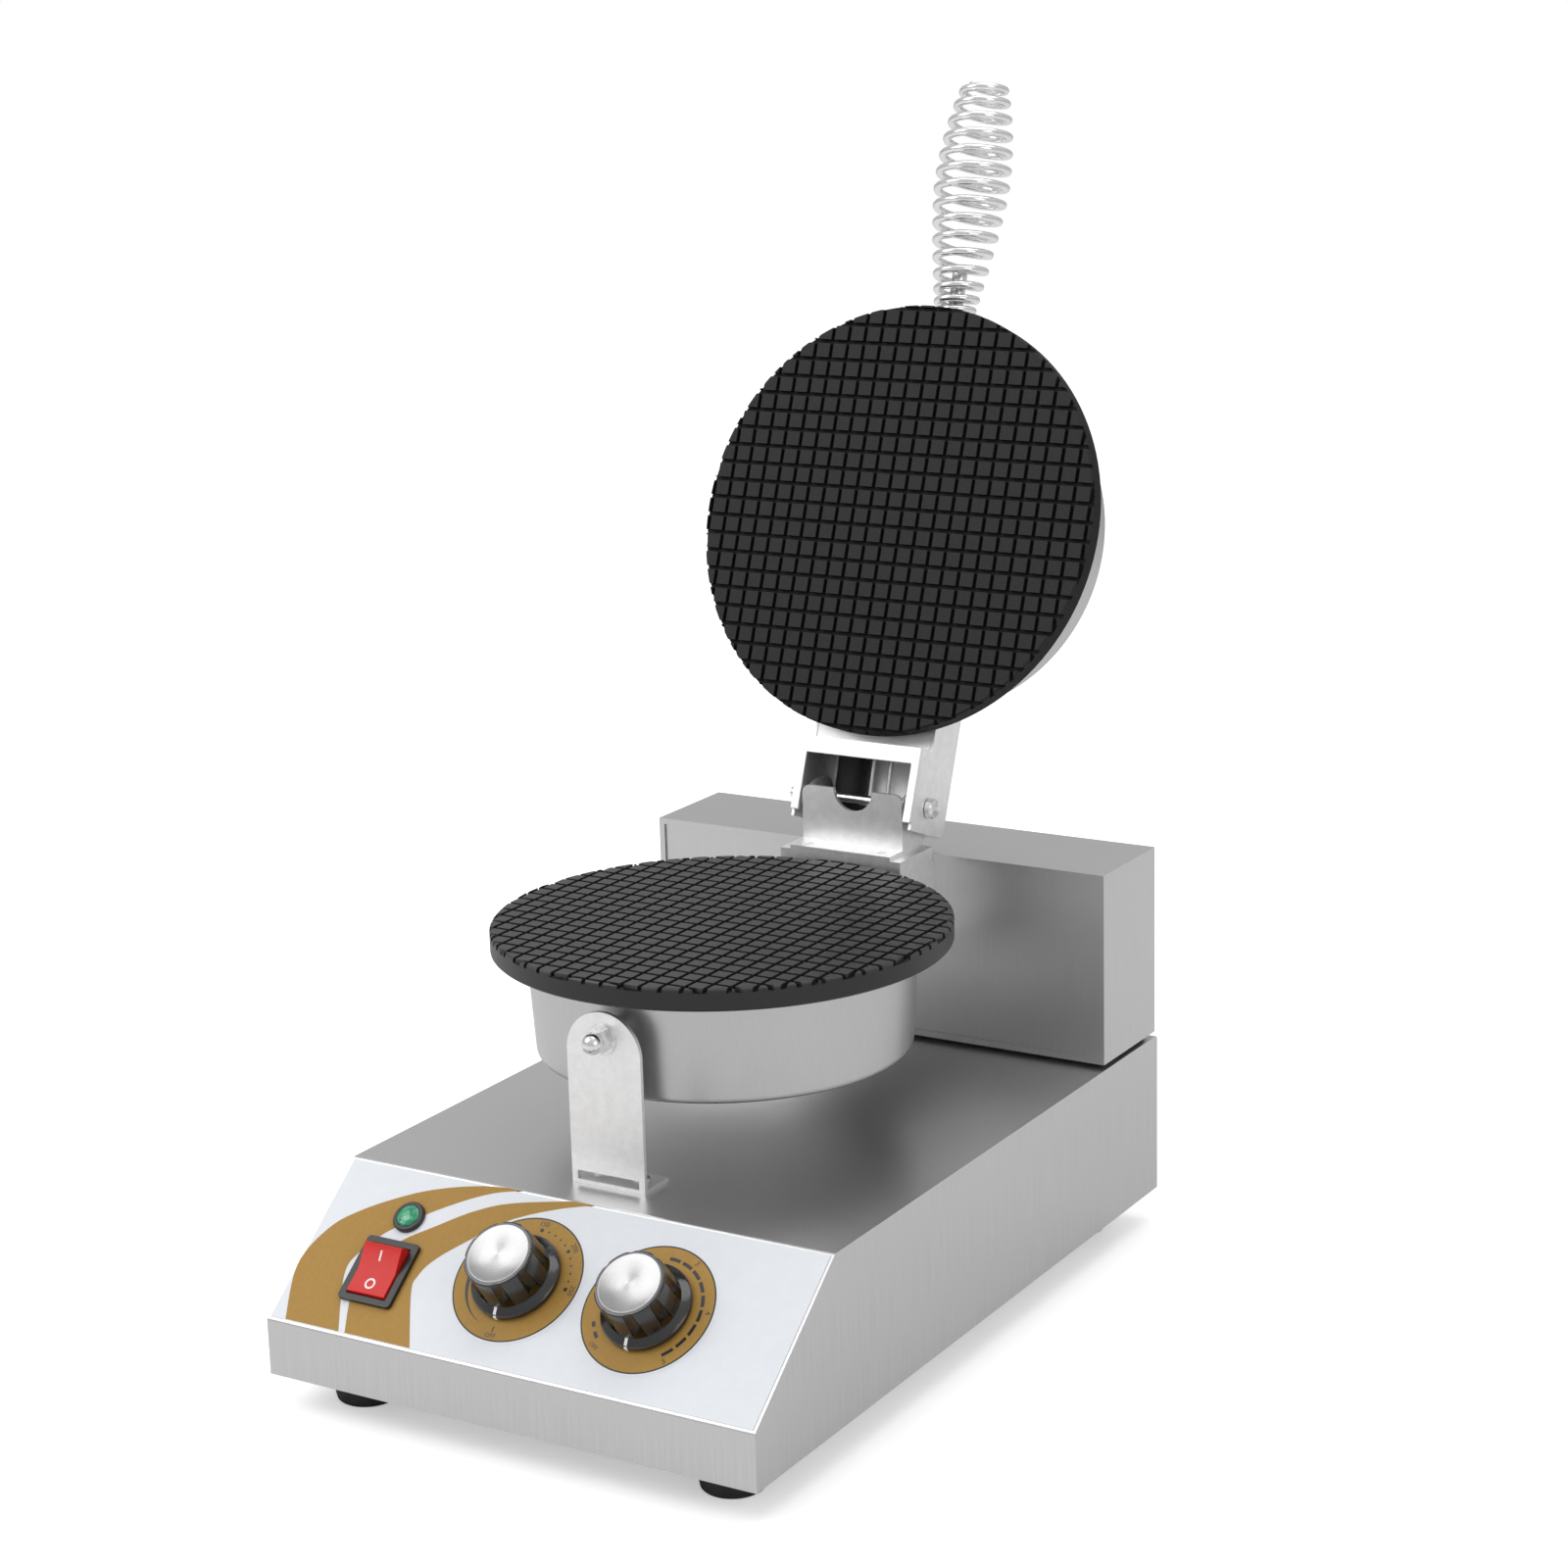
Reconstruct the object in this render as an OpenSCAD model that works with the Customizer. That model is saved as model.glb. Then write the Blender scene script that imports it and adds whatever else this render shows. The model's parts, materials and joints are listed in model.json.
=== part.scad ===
/* [Base] */
// Width of the base from side to side
base_w = 250; // [235:1:280]
// Depth of the base from the front strip to the back wall
base_d = 380; // [372:1:410]
// Height of the sheet base above its feet
base_h = 79; // [72:1:90]
// Height of the upright strip below the control panel
strip_h = 26; // [20:1:34]
// Depth taken up by the sloping control panel
slope_run = 66.5; // [60:0.5:72]
// Thickness of the base and rear box sheet
sheet_t = 1; // [0.8:0.1:1.4]
// Outer radius of the folds in the base
bend_r = 2; // [1.6:0.1:3]
// Width of the inward lip under the base
lip_w = 12; // [10:1:16]

/* [Feet] */
// Height of the rubber feet
foot_h = 16; // [12:1:22]
// Width of a foot where it meets the base
foot_top_d = 34; // [28:1:38]
// Width of a foot on the table
foot_bottom_d = 28; // [22:1:34]
// Distance from the base edges to a foot's centre
foot_inset = 30; // [26:1:36]

/* [Rear box] */
// Step from the base's side to the rear box's side
box_side = 1; // [0.5:0.5:8]
// Depth of the rear box
box_d = 56.6; // [50:0.2:58]
// Height of the rear box
box_h = 93.5; // [86:0.5:94]
// Thickness of the seal under the rear box
box_gap = 2; // [1:0.5:4]
// Step from the base's back wall to the rear box
box_step = 0.8; // [0.5:0.1:4]
// Depth of the front panel inside its folded edge
box_inset = 1; // [0.5:0.1:2]
// Width of the folded edge round the front panel
box_edge = 3; // [2:0.5:6]

/* [Baking plates] */
// Diameter of the baking plates
plate_d = 210; // [204:1:212]
// Place of the plate centre behind the base centre
plate_y = -6.1; // [-8:0.1:-4]
// Thickness of each baking plate
plate_t = 10.4; // [9:0.1:12]
// Gap between the closed plates, the wafer's thickness
plate_gap = 1.6; // [1.2:0.1:3]
// Distance from tooth to tooth of the grid
grid_pitch = 8.95; // [8:0.05:11]
// Width of the grid's grooves
groove_w = 2; // [1.4:0.1:3]
// Depth of the grid's grooves
groove_depth = 2.2; // [1.5:0.1:3]

/* [Pans] */
// Diameter of a pan where it meets its plate
pan_rim_d = 178; // [174:1:180]
// Diameter of a pan at its closed end
pan_end_d = 172; // [168:1:173]
// Height of a pan
pan_h = 48.5; // [44:0.5:50]
// Radius of a pan's closed corner
pan_corner = 3; // [2:0.5:5]
// Thickness of the pan sheet
pan_wall = 1.2; // [1:0.1:1.6]
// Height of the lower pan above the base
pan_lift = 37.5; // [34:0.5:44]

/* [Hinge] */
// Distance from the plates' back edge to the hinge axis
hinge_back = 30.5; // [30:0.1:31]
// Height of the hinge axis above the lower plate's face
hinge_rise = 22.4; // [22:0.1:23]
// Angle at which the lid stands open
lid_open = 111; // [100:1:111]
// Diameter of the hinge pin
pin_d = 5; // [4:0.1:5]
// Width of the hinge arm and the upper bracket
arm_w = 66; // [64:1:72]
// Height of the hinge arm
arm_h = 52; // [48:1:56]
// Thickness of the arm sheet
arm_t = 1.5; // [1.2:0.1:2]
// Drop from the hinge axis to the arm's top
arm_drop = 19.8; // [19.6:0.1:20]
// Width of the lower bracket
cradle_w = 55; // [54:1:56]
// Thickness of the lower and front bracket sheet
cradle_t = 2; // [1.5:0.1:2.2]
// Radius of the notch in the lower bracket
notch_r = 10.5; // [9:0.5:11]
// Thickness of the upper bracket sheet
yoke_t = 1.5; // [1.2:0.1:1.5]
// Height of the upper bracket's top above the hinge axis
yoke_rise = 19.2; // [19:0.1:20]
// Distance from the hinge axis to the upper bracket's back edge
yoke_back = 12.6; // [12:0.1:13]
// Drop from the hinge axis to the frame plate's underside
frame_drop = 16.8; // [16.6:0.1:17]
// Thickness of the frame plate
frame_t = 2; // [1.5:0.1:2]

/* [Front bracket] */
// Width of the front bracket
front_w = 38; // [34:1:44]
// Height of the front bracket above the base
front_h = 80.5; // [78:0.5:84]
// Gap from the front bracket to the pan
front_gap = 8.6; // [7:0.2:10]
// Height of the pan bolt above the base
bolt_rise = 68.5; // [64:0.5:70]
// Diameter of the pan bolt
bolt_d = 6; // [5:0.5:7]

/* [Spring handle] */
// Wire diameter of the handle spring
wire_d = 4; // [3.4:0.1:4]
// Outer diameter of the spring's neck
neck_d = 16; // [14:0.1:17]
// Outer diameter of the spring at its widest
grip_d = 37.5; // [30:0.5:38]
// Outer diameter of the spring's tip
tip_d = 22.5; // [20:0.5:28]
// Turns of the spring
turns = 18.4; // [17:0.1:20]
// Close turns at the spring's neck
neck_turns = 3.5; // [2:0.5:5]
// Turns over which the pitch grows
ramp_turns = 4; // [3:0.5:5]
// Turns over which the pitch falls at the tip
tip_turns = 2.5; // [2:0.5:4]
// Pitch of the neck
neck_pitch = 4.8; // [4.6:0.1:5.2]
// Pitch of the grip
grip_pitch = 8.4; // [6.5:0.1:8.6]
// Pitch at the tip
tip_pitch = 5.6; // [5:0.1:7]
// Droop of the handle below level
handle_droop = 2.7; // [0:0.1:5]
// Length of the stud inside the spring
stud_l = 44; // [36:1:50]

/* [Controls] */
// Width of the knob skirts
knob_d = 41; // [36:0.5:42]
// Width of the knob grips
grip_top_d = 32; // [28:0.5:34]
// Height of the knobs
knob_h = 22; // [18:0.5:26]
// Lobes round a knob
knob_lobes = 8; // [6:1:12]
// Diameter of the knob shafts
shaft_d = 6; // [5:0.5:7]
// Width of the switch frame
switch_w = 28; // [26:0.5:30]
// Height of the switch frame
switch_l = 32; // [30:0.5:34]
// Tilt of the switch rocker
rocker_tilt = 11; // [8:1:12]
// Diameter of the lamp
lamp_d = 15; // [12:0.5:18]
// Thickness of the control label
label_t = 0.3; // [0.2:0.1:0.6]

/* [Cable sleeve] */
// Diameter of the cable sleeve
sleeve_d = 14; // [12:0.5:14]
// Diameter of the sensor tube and the earth wire
line_d = 2.2; // [1.6:0.1:2.4]

/* [Hidden] */
$fn = 72;
fit = 0.3;
touch = 0.05;
over = 1;

base_top = foot_h + base_h;
front_y = -base_d / 2;
back_y = base_d / 2;
slope_a = atan2(base_h - strip_h, slope_run);
slope_l = norm([base_h - strip_h, slope_run]);
box_w = base_w - 2 * box_side;
box_z = base_top + box_gap;
box_back = back_y - box_step;
box_front = box_back - box_d;
box_top = box_z + box_h;
box_panel = box_front + box_inset;

plate_r = plate_d / 2;
pan_z = base_top + pan_lift;
plate_z = pan_z + pan_h;
face_z = plate_z + plate_t;
lid_face = face_z + plate_gap;
lid_pan_z = lid_face + plate_t;
lid_top = lid_pan_z + pan_h;
hinge_y = plate_y + plate_r + hinge_back;
hinge_z = face_z + hinge_rise;
pin_r = pin_d / 2;

arm_top = hinge_z - arm_drop;
arm_front = plate_y + plate_r + 1.6;
arm_root = plate_y + pan_end_d / 2 - 26;
arm_step = plate_z - 2.5;
cradle_z = arm_top + cradle_t;
cradle_front = hinge_y - 16.4;
cradle_top = hinge_z + 9.2;
cradle_back = hinge_y + 10.1;
yoke_top = hinge_z + yoke_rise;
yoke_end = hinge_y + yoke_back;
yoke_low = lid_pan_z + 5.1;
yoke_front = cradle_front - 10.5;
frame_z = hinge_z - frame_drop;
sweep_r = arm_drop - 0.5;
frame_bar = 8;
frame_lip = 4.2;

pan_lean = (pan_rim_d - pan_end_d) / 2 / pan_h;
// Radius of a pan's outside at a height above its rim
function pan_r(h) = (pan_rim_d + (pan_end_d - pan_rim_d) * h / pan_h) / 2;
bolt_z = base_top + bolt_rise;
bolt_y = plate_y - pan_r(plate_z - bolt_z);
bracket_back = bolt_y - front_gap;
bracket_y = bracket_back - cradle_t;

// Places on the control panel, across it and up its slope
lamp_at = [-80.3, 60.8];
switch_at = [-80.6, 32.3];
temp_at = [-13.2, 43.4];
timer_at = [53.5, 42.8];

wire_r = wire_d / 2;
handle_rise = 19.3;
handle_y = plate_y - pan_r(handle_rise);
handle_z = lid_pan_z + handle_rise;
stud_r = neck_d / 2 - wire_d - 0.3;

sleeve_x = -17.5;
sensor_x = -4;
earth_x = 5.5;
// Route of the cable sleeve behind the hinge pin, back from and above the hinge axis
sleeve_route = [
  [-0.8, -22.4], [-0.8, -19], [1.8, -13], [6.2, -8.6], [9.6, -3.4],
  [12.8, 5], [16.6, 18], [20.2, 30], [23, 41], [24.6, 47]
];
line_route = [
  [-1.6, -23], [-1.6, -20], [1.2, -11], [6, -5], [9, 2],
  [12, 12], [16, 24], [20.5, 38], [23.4, 46]
];

// Unit vector along v
function unit(v) = v / norm(v);

// Corner i of a polygon rounded by radius r in n steps
function corner(pts, i, r, n) =
  let (c = len(pts))
  let (p = pts[i])
  let (u = unit(pts[(i + c - 1) % c] - p))
  let (v = unit(pts[(i + 1) % c] - p))
  let (h = acos(u * v) / 2)
  let (m = p + unit(u + v) * r / sin(h))
  let (s = p + u * r / tan(h) - m)
  let (e = p + v * r / tan(h) - m)
  let (a = atan2(s.y, s.x))
  let (d = (atan2(e.y, e.x) - a + 900) % 360 - 180)
  [for (k = [0:n]) m + r * [cos(a + d * k / n), sin(a + d * k / n)]];

// A polygon with its own radius at each corner, zero for a sharp one
function rounded(pts, radii, n = 4) =
  [for (i = [0:len(pts) - 1])
    each (radii[i] > 0 ? corner(pts, i, radii[i], n) : [pts[i]])];

// Points and faces of a tube along a path, with a side direction at each point
module tube(path, side, r, sides) {
  last = len(path) - 1;
  rings = [for (i = [0:last])
    let (t = unit(path[min(i + 1, last)] - path[max(i - 1, 0)]))
    let (v = unit(cross(t, side[i])))
    let (u = cross(v, t))
    for (k = [0:sides - 1])
      path[i] + r * (u * cos(360 * k / sides) + v * sin(360 * k / sides))];
  walls = [for (i = [0:last - 1], k = [0:sides - 1])
    let (a = i * sides + k)
    let (b = i * sides + (k + 1) % sides)
    each [[a, b, b + sides], [a, b + sides, a + sides]]];
  start = [for (k = [1:sides - 2]) [0, k + 1, k]];
  end = [for (k = [1:sides - 2]) [last * sides, last * sides + k, last * sides + k + 1]];
  polyhedron(points = rings, faces = concat(walls, start, end));
}

// A profile drawn back and up, extruded to a width across the part
module across(w) {
  translate([-w / 2, 0, 0])
    rotate([90, 0, 90])
      linear_extrude(w)
        children();
}

// A block from its lowest corner to its highest
module block(low, high) {
  translate(low)
    cube(high - low);
}

// A rod from one point along X
module rod_x(x0, x1, y, z, r) {
  translate([x0, y, z])
    rotate([0, 90, 0])
      cylinder(h = x1 - x0, r = r);
}

// A rod from one point along Y
module rod_y(y0, y1, x, z, r) {
  translate([x, y0, z])
    rotate([-90, 0, 0])
      cylinder(h = y1 - y0, r = r);
}

// A dome head screw that points down from the origin
module dome_screw(head_r, head_h, shank_r, shank_l) {
  rotate_extrude()
    polygon(concat(
      [[0, -shank_l], [shank_r, -shank_l], [shank_r, 0], [head_r, 0]],
      [for (k = [1:6]) [head_r * cos(k * 15), head_h * (0.35 + 0.65 * sin(k * 15))]]));
}

// A hexagon nut with a round bore, its base at the origin
module hex_nut(width, height, bore_r) {
  difference() {
    cylinder(h = height, d = width / cos(30), $fn = 6);
    translate([0, 0, -over])
      cylinder(h = height + 2 * over, r = bore_r);
  }
}

// Places something at a point of the control panel, its Z axis out of the panel
module on_panel(at, h = 0) {
  translate([at.x, front_y + at.y * cos(slope_a), foot_h + strip_h + at.y * sin(slope_a)])
    rotate([slope_a, 0, 0])
      translate([0, 0, h])
        children();
}

// Turns the closed lid up to where it stands open
module on_lid() {
  translate([0, hinge_y, hinge_z])
    rotate([-lid_open, 0, 0])
      translate([0, -hinge_y, -hinge_z])
        children();
}

// The four feet places
module at_feet() {
  for (x = [-1, 1], y = [-1, 1])
    translate([x * (base_w / 2 - foot_inset), y * (base_d / 2 - foot_inset), 0])
      children();
}

// Side outline of the base, drawn in by a wall
function base_outline(in) =
  let (rise = in / cos(slope_a))
  let (y0 = front_y + in)
  let (top = base_top - in)
  [
    [y0, foot_h + 2 * in],
    [y0, foot_h + strip_h + in * tan(slope_a) - rise],
    [front_y + slope_run + (rise - in) / tan(slope_a), top],
    [back_y - in, top],
    [back_y - in, foot_h + 2 * in]
  ];

cover_screw_y = [front_y + 60, 0, back_y - 60];
cover_screw_x = base_w / 2 - sheet_t - lip_w / 2;

module base_shell() {
  inner = base_w - 2 * sheet_t;
  inner_r = bend_r - sheet_t;
  open_w = inner - 2 * lip_w;
  open_d = base_d - 2 * sheet_t - 2 * lip_w;
  color("silver")
    difference() {
      across(base_w)
        polygon(rounded(base_outline(0), [0, bend_r, bend_r, bend_r, 0]));
      across(inner)
        polygon(rounded(base_outline(sheet_t), [0, inner_r, inner_r, inner_r, 0]));
      block([-inner / 2, front_y + sheet_t, foot_h - over], [inner / 2, back_y - sheet_t, foot_h + sheet_t]);
      translate([-open_w / 2, -open_d / 2, foot_h - over])
        cube([open_w, open_d, 2 * sheet_t + 2 * over]);
      for (x = [-1, 1], y = cover_screw_y)
        translate([x * cover_screw_x, y, foot_h])
          cylinder(h = 4, r = 1.6);
      on_panel(lamp_at, -5)
        cylinder(h = 10, r = lamp_d / 2 - 1.5);
      on_panel(switch_at, -5)
        translate([-switch_w / 2 + 1.5, -switch_l / 2 + 1.5, 0])
          cube([switch_w - 3, switch_l - 3, 10]);
      for (at = [temp_at, timer_at])
        on_panel(at, -5)
          cylinder(h = 10, r = bush_r + touch);
      for (x = bracket_screw_x)
        translate([x, bracket_back + 9, base_top - 5])
          cylinder(h = 10, r = 2.1);
      translate([0, (box_front + box_back) / 2, base_top - 5])
        cylinder(h = 10, r = 12);
      rod_y(back_y - 5, back_y + 5, gland_x, gland_z, gland_r);
    }
}

vent_n = 9;
module bottom_cover() {
  w = base_w - 2 * sheet_t - 0.4;
  d = base_d - 2 * sheet_t - 0.4;
  color("gainsboro")
    difference() {
      translate([-w / 2, -d / 2, foot_h])
        cube([w, d, sheet_t]);
      for (x = [-1, 1], y = cover_screw_y)
        translate([x * cover_screw_x, y, foot_h - over])
          cylinder(h = 4, r = 1.6);
      at_feet()
        translate([0, 0, foot_h - over])
          cylinder(h = 4, r = 2.1);
      for (i = [0:vent_n - 1], y = [-80, 40])
        translate([(i - (vent_n - 1) / 2) * 14 - 2, y, foot_h - over])
          cube([4, 50, sheet_t + 2 * over]);
    }
}

module bottom_cover_screws() {
  color("darkgray")
    for (x = [-1, 1], y = cover_screw_y)
      translate([x * cover_screw_x, y, foot_h])
        rotate([180, 0, 0])
          dome_screw(3, 1.8, 1.5, 3.5);
}

module rubber_feet() {
  recess_r = 5.5;
  recess = foot_h * 0.45;
  color("black")
    at_feet()
      rotate_extrude()
        polygon([
          [recess_r, 0],
          [foot_bottom_d / 2 - 1, 0],
          [foot_bottom_d / 2, 1],
          [foot_top_d / 2 - 0.6, foot_h - 2],
          [foot_top_d / 2, foot_h - 1.4],
          [foot_top_d / 2, foot_h],
          [2.1, foot_h],
          [2.1, recess],
          [recess_r, recess]
        ]);
}

module foot_screws() {
  recess = foot_h * 0.45;
  color("silver")
    at_feet()
      translate([0, 0, recess])
        rotate([180, 0, 0])
          dome_screw(4.5, 2.6, 2, foot_h - recess + sheet_t + 5);
}

pass_w = 30;
module rear_housing() {
  t = sheet_t;
  lip = 10;
  color("silver")
    difference() {
      block([-box_w / 2, box_front, box_z], [box_w / 2, box_back, box_top]);
      block([-box_w / 2 + box_edge, box_front - over, box_z + box_edge],
        [box_w / 2 - box_edge, box_panel, box_top - box_edge]);
      block([-box_w / 2 + t, box_panel + t, box_z + t], [box_w / 2 - t, box_back - 2 * t, box_top - t]);
      block([-box_w / 2 + t + lip, box_panel + t, box_z + t + lip],
        [box_w / 2 - t - lip, box_back + over, box_top - t - lip]);
      block([-box_w / 2 + t, box_back - t, box_z + t], [box_w / 2 - t, box_back + over, box_top - t]);
      block([-pass_w / 2, box_front - over, arm_top - arm_h + 10],
        [pass_w / 2, box_panel + 2 * t, box_top - 8]);
      for (x = [-1, 1], z = arm_screw_z)
        rod_y(box_panel - over, box_panel + t + over, x * arm_screw_x, z, 2.1);
      translate([0, (box_front + box_back) / 2, box_z - over])
        cylinder(h = t + 2 * over, r = 12);
      for (x = cover_x, z = [box_z + t + lip / 2, box_top - t - lip / 2])
        rod_y(box_back - 3 * t, box_back - t + touch, x, z, 1.6);
    }
}

module housing_seal() {
  in = 4;
  color("dimgray")
    difference() {
      block([-box_w / 2 + in, box_front + in, base_top], [box_w / 2 - in, box_back - in, box_z]);
      block([-box_w / 2 + 3 * in, box_front + 3 * in, base_top - over],
        [box_w / 2 - 3 * in, box_back - 3 * in, box_z + over]);
    }
}

cover_x = [-100, -34, 34, 100];
module rear_cover() {
  t = sheet_t;
  gap = 0.2;
  lip = 10;
  color("gainsboro")
    difference() {
      block([-box_w / 2 + t + gap, box_back - t, box_z + t + gap],
        [box_w / 2 - t - gap, box_back, box_top - t - gap]);
      for (x = cover_x, z = [box_z + t + lip / 2, box_top - t - lip / 2])
        rod_y(box_back - 3 * t, box_back + over, x, z, 1.6);
      for (i = [-5:5])
        block([i * 12 - 2, box_back - 2 * t, box_z + 26], [i * 12 + 2, box_back + over, box_z + 62]);
    }
}

module rear_cover_screws() {
  lip = 10;
  color("darkgray")
    for (x = cover_x, z = [box_z + sheet_t + lip / 2, box_top - sheet_t - lip / 2])
      translate([x, box_back, z])
        rotate([-90, 0, 0])
          dome_screw(3, 1.8, 1.5, 3.5);
}

// The outside of a pan, widened by a gap, over a range of heights above its closed end
module pan_form(extra) {
  translate([0, plate_y, pan_z - over])
    cylinder(h = pan_h + 2 * over, r1 = pan_end_d / 2 + extra, r2 = pan_rim_d / 2 + extra);
}

arm_screw_x = 24;
arm_screw_z = [arm_top - arm_h + 12, arm_top - 14];
saddle_z = [arm_top - arm_h + 10, arm_step - 12];
saddle_a = 14;
// Side outline of the hinge arm, drawn in by a wall, with a step over the rear box's folded edge
arm_lap = box_top - box_edge - 0.4;
function arm_outline(in) = [
  [arm_root, arm_top - arm_h - (in > 0 ? over : 0)],
  [arm_root, arm_step - in],
  [arm_front + in, arm_step - in],
  [arm_front + in, arm_top - in],
  [box_front - touch - in, arm_top - in],
  [box_front - touch - in, arm_lap - in],
  [box_panel - in, arm_lap - in],
  [box_panel - in, arm_top - arm_h - (in > 0 ? over : 0)]
];

module hinge_arm() {
  flange = 14;
  color("silver")
    difference() {
      across(arm_w)
        polygon(arm_outline(0));
      pan_form(touch);
      difference() {
        across(arm_w - 2 * arm_t)
          polygon(arm_outline(arm_t));
        pan_form(touch + arm_t);
      }
      block([-arm_w / 2 + arm_t + flange, box_panel - 2 * arm_t, arm_top - arm_h - over],
        [arm_w / 2 - arm_t - flange, box_panel + over, arm_top - 6]);
      for (x = [-1, 1], z = arm_screw_z)
        rod_y(box_panel - 3 * arm_t, box_panel + over, x * arm_screw_x, z, 2.1);
      for (a = [-saddle_a, saddle_a], z = saddle_z)
        at_saddle(a, z)
          cylinder(h = 30, r = 2.1, center = true);
      for (at = cradle_bolts)
        translate([at.x, at.y, arm_top - 5])
          cylinder(h = 10, r = 2.1);
      route_holes();
    }
}

// The sleeve's and the lines' holes down through the lower bracket and the arm
module route_holes() {
  translate([sleeve_x, hinge_y + sleeve_route[0].x, arm_top - 5])
    cylinder(h = 10, r = sleeve_d / 2 + 0.6);
  for (x = [sensor_x, earth_x])
    translate([x, hinge_y + line_route[0].x, arm_top - 5])
      cylinder(h = 10, r = line_d / 2 + 0.9);
}

// A place on the lower pan's back wall, Z axis out of the wall
module at_saddle(a, z) {
  translate([0, plate_y, z])
    rotate([0, 0, a])
      translate([0, pan_r(plate_z - z), 0])
        rotate([-90, 0, 0])
          children();
}

module arm_screws() {
  color("darkgray") {
    for (x = [-1, 1], z = arm_screw_z)
      translate([x * arm_screw_x, box_panel - arm_t, z])
        rotate([90, 0, 0])
          dome_screw(3.6, 2.2, 2, arm_t + sheet_t + 3);
    for (a = [-saddle_a, saddle_a], z = saddle_z)
      at_saddle(a, z)
        translate([0, 0, arm_t + 0.3])
          dome_screw(3.6, 2.2, 2, arm_t + pan_wall + 3);
  }
}

cradle_bolts = [[-20, cradle_front - 7], [20, cradle_front - 7], [20, cradle_back - 13]];
module lower_hinge_bracket() {
  w = cradle_w / 2;
  ear_r = 8;
  floor_front = arm_front;
  floor_back = box_front - 0.6;
  color("gainsboro")
    difference() {
      union() {
        block([-w, floor_front, arm_top], [w, floor_back, cradle_z]);
        difference() {
          translate([0, cradle_front + cradle_t, 0])
            rotate([90, 0, 0])
              linear_extrude(cradle_t)
                polygon(rounded(
                  [[-w, arm_top], [-w, cradle_top], [w, cradle_top], [w, arm_top]], [0, 4, 4, 0]));
          translate([0.5, cradle_front - over, cradle_top])
            rotate([-90, 0, 0])
              cylinder(h = cradle_t + 2 * over, r = notch_r);
        }
        for (x = [-w, w - cradle_t])
          translate([x + cradle_t / 2, 0, 0])
            across(cradle_t)
              polygon(rounded(
                [
                  [cradle_front, arm_top],
                  [cradle_front, cradle_top - 3],
                  [hinge_y - 4, cradle_top],
                  [cradle_back, cradle_top],
                  [cradle_back, arm_top + 8],
                  [floor_back, arm_top]
                ],
                [0, 3, 3, ear_r, 3, 0]));
      }
      rod_x(-w - over, w + over, hinge_y, hinge_z, pin_r + touch);
      for (at = cradle_bolts)
        translate([at.x, at.y, arm_top - 5])
          cylinder(h = 10, r = 2.1);
      route_holes();
    }
}

module lower_bracket_screws() {
  color("darkgray")
    for (at = cradle_bolts)
      translate([at.x, at.y, arm_top - arm_t])
        rotate([180, 0, 0])
          dome_screw(3.6, 2.2, 2, arm_t + cradle_t);
}

hinge_nut_h = 4.6;
module hinge_pin() {
  head = arm_w / 2 + fit;
  color("lightgray") {
    rod_x(-head - hinge_nut_h - pin_d, head, hinge_y, hinge_z, pin_r);
    translate([head, hinge_y, hinge_z])
      rotate([0, 90, 0])
        dome_screw(5, 4.6, pin_r, 0.5);
  }
}

module hinge_nut() {
  color("silver")
    translate([-arm_w / 2 - fit - hinge_nut_h, hinge_y, hinge_z])
      rotate([0, 90, 0])
        hex_nut(9, hinge_nut_h, pin_r + touch);
}

module hinge_washers() {
  gap = arm_w / 2 - yoke_t - cradle_w / 2;
  color("silver")
    for (x = [-arm_w / 2 + yoke_t + fit, cradle_w / 2])
      difference() {
        rod_x(x, x + gap - fit, hinge_y, hinge_z, 6);
        rod_x(x - over, x + gap + over, hinge_y, hinge_z, pin_r + touch);
      }
}

bracket_screw_x = [-10, 10];
module front_bracket() {
  r = front_w / 2;
  foot_l = 17;
  color("silver")
    difference() {
      union() {
        block([-r, bracket_y, base_top], [r, bracket_back, base_top + front_h - r]);
        rod_y(bracket_y, bracket_back, 0, base_top + front_h - r, r);
        block([-r, bracket_y, base_top], [r, bracket_back + foot_l, base_top + cradle_t]);
      }
      block([-r + 3, bracket_y - over, base_top + cradle_t],
        [r - 3, bracket_back + over, base_top + cradle_t + 4]);
      rod_y(bracket_y - over, bracket_back + over, 0, bolt_z, bolt_d / 2 + touch);
      for (x = bracket_screw_x)
        translate([x, bracket_back + 9, base_top - over])
          cylinder(h = cradle_t + 2 * over, r = 2.1);
    }
}

module front_bracket_screws() {
  color("darkgray")
    for (x = bracket_screw_x)
      translate([x, bracket_back + 9, base_top + cradle_t])
        dome_screw(4, 2.4, 2, cradle_t + sheet_t + 4);
}

module pan_bolt() {
  head_r = bolt_d / 2 + 2.5;
  seat = bolt_y + pan_wall + head_r * pan_lean + 0.3;
  color("lightgray") {
    rod_y(bracket_y - 9, seat + 0.7, 0, bolt_z, bolt_d / 2);
    translate([0, seat, bolt_z])
      rotate([-90, 0, 0])
        dome_screw(head_r, 3.5, bolt_d / 2, 0.2);
  }
}

module pan_bolt_nut() {
  r = bolt_d / 2 + touch;
  color("lightgray")
    translate([0, bracket_y - 1.2, bolt_z])
      rotate([90, 0, 0])
        difference() {
          union() {
            cylinder(h = 5, d = 11.5, $fn = 6);
            rotate_extrude()
              polygon(concat([[0, 4.5], [4.8, 4.5]],
                [for (k = [0:6]) [4.8 * cos(k * 15), 6.4 + 4.8 * sin(k * 15)]]));
          }
          translate([0, 0, -over])
            cylinder(h = 7.9 + over, r = r);
        }
}

module pan_bolt_washer() {
  color("silver")
    difference() {
      rod_y(bracket_y - 1.2, bracket_y, 0, bolt_z, 7);
      rod_y(bracket_y - 2, bracket_y + over, 0, bolt_z, bolt_d / 2 + touch);
    }
}

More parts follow.
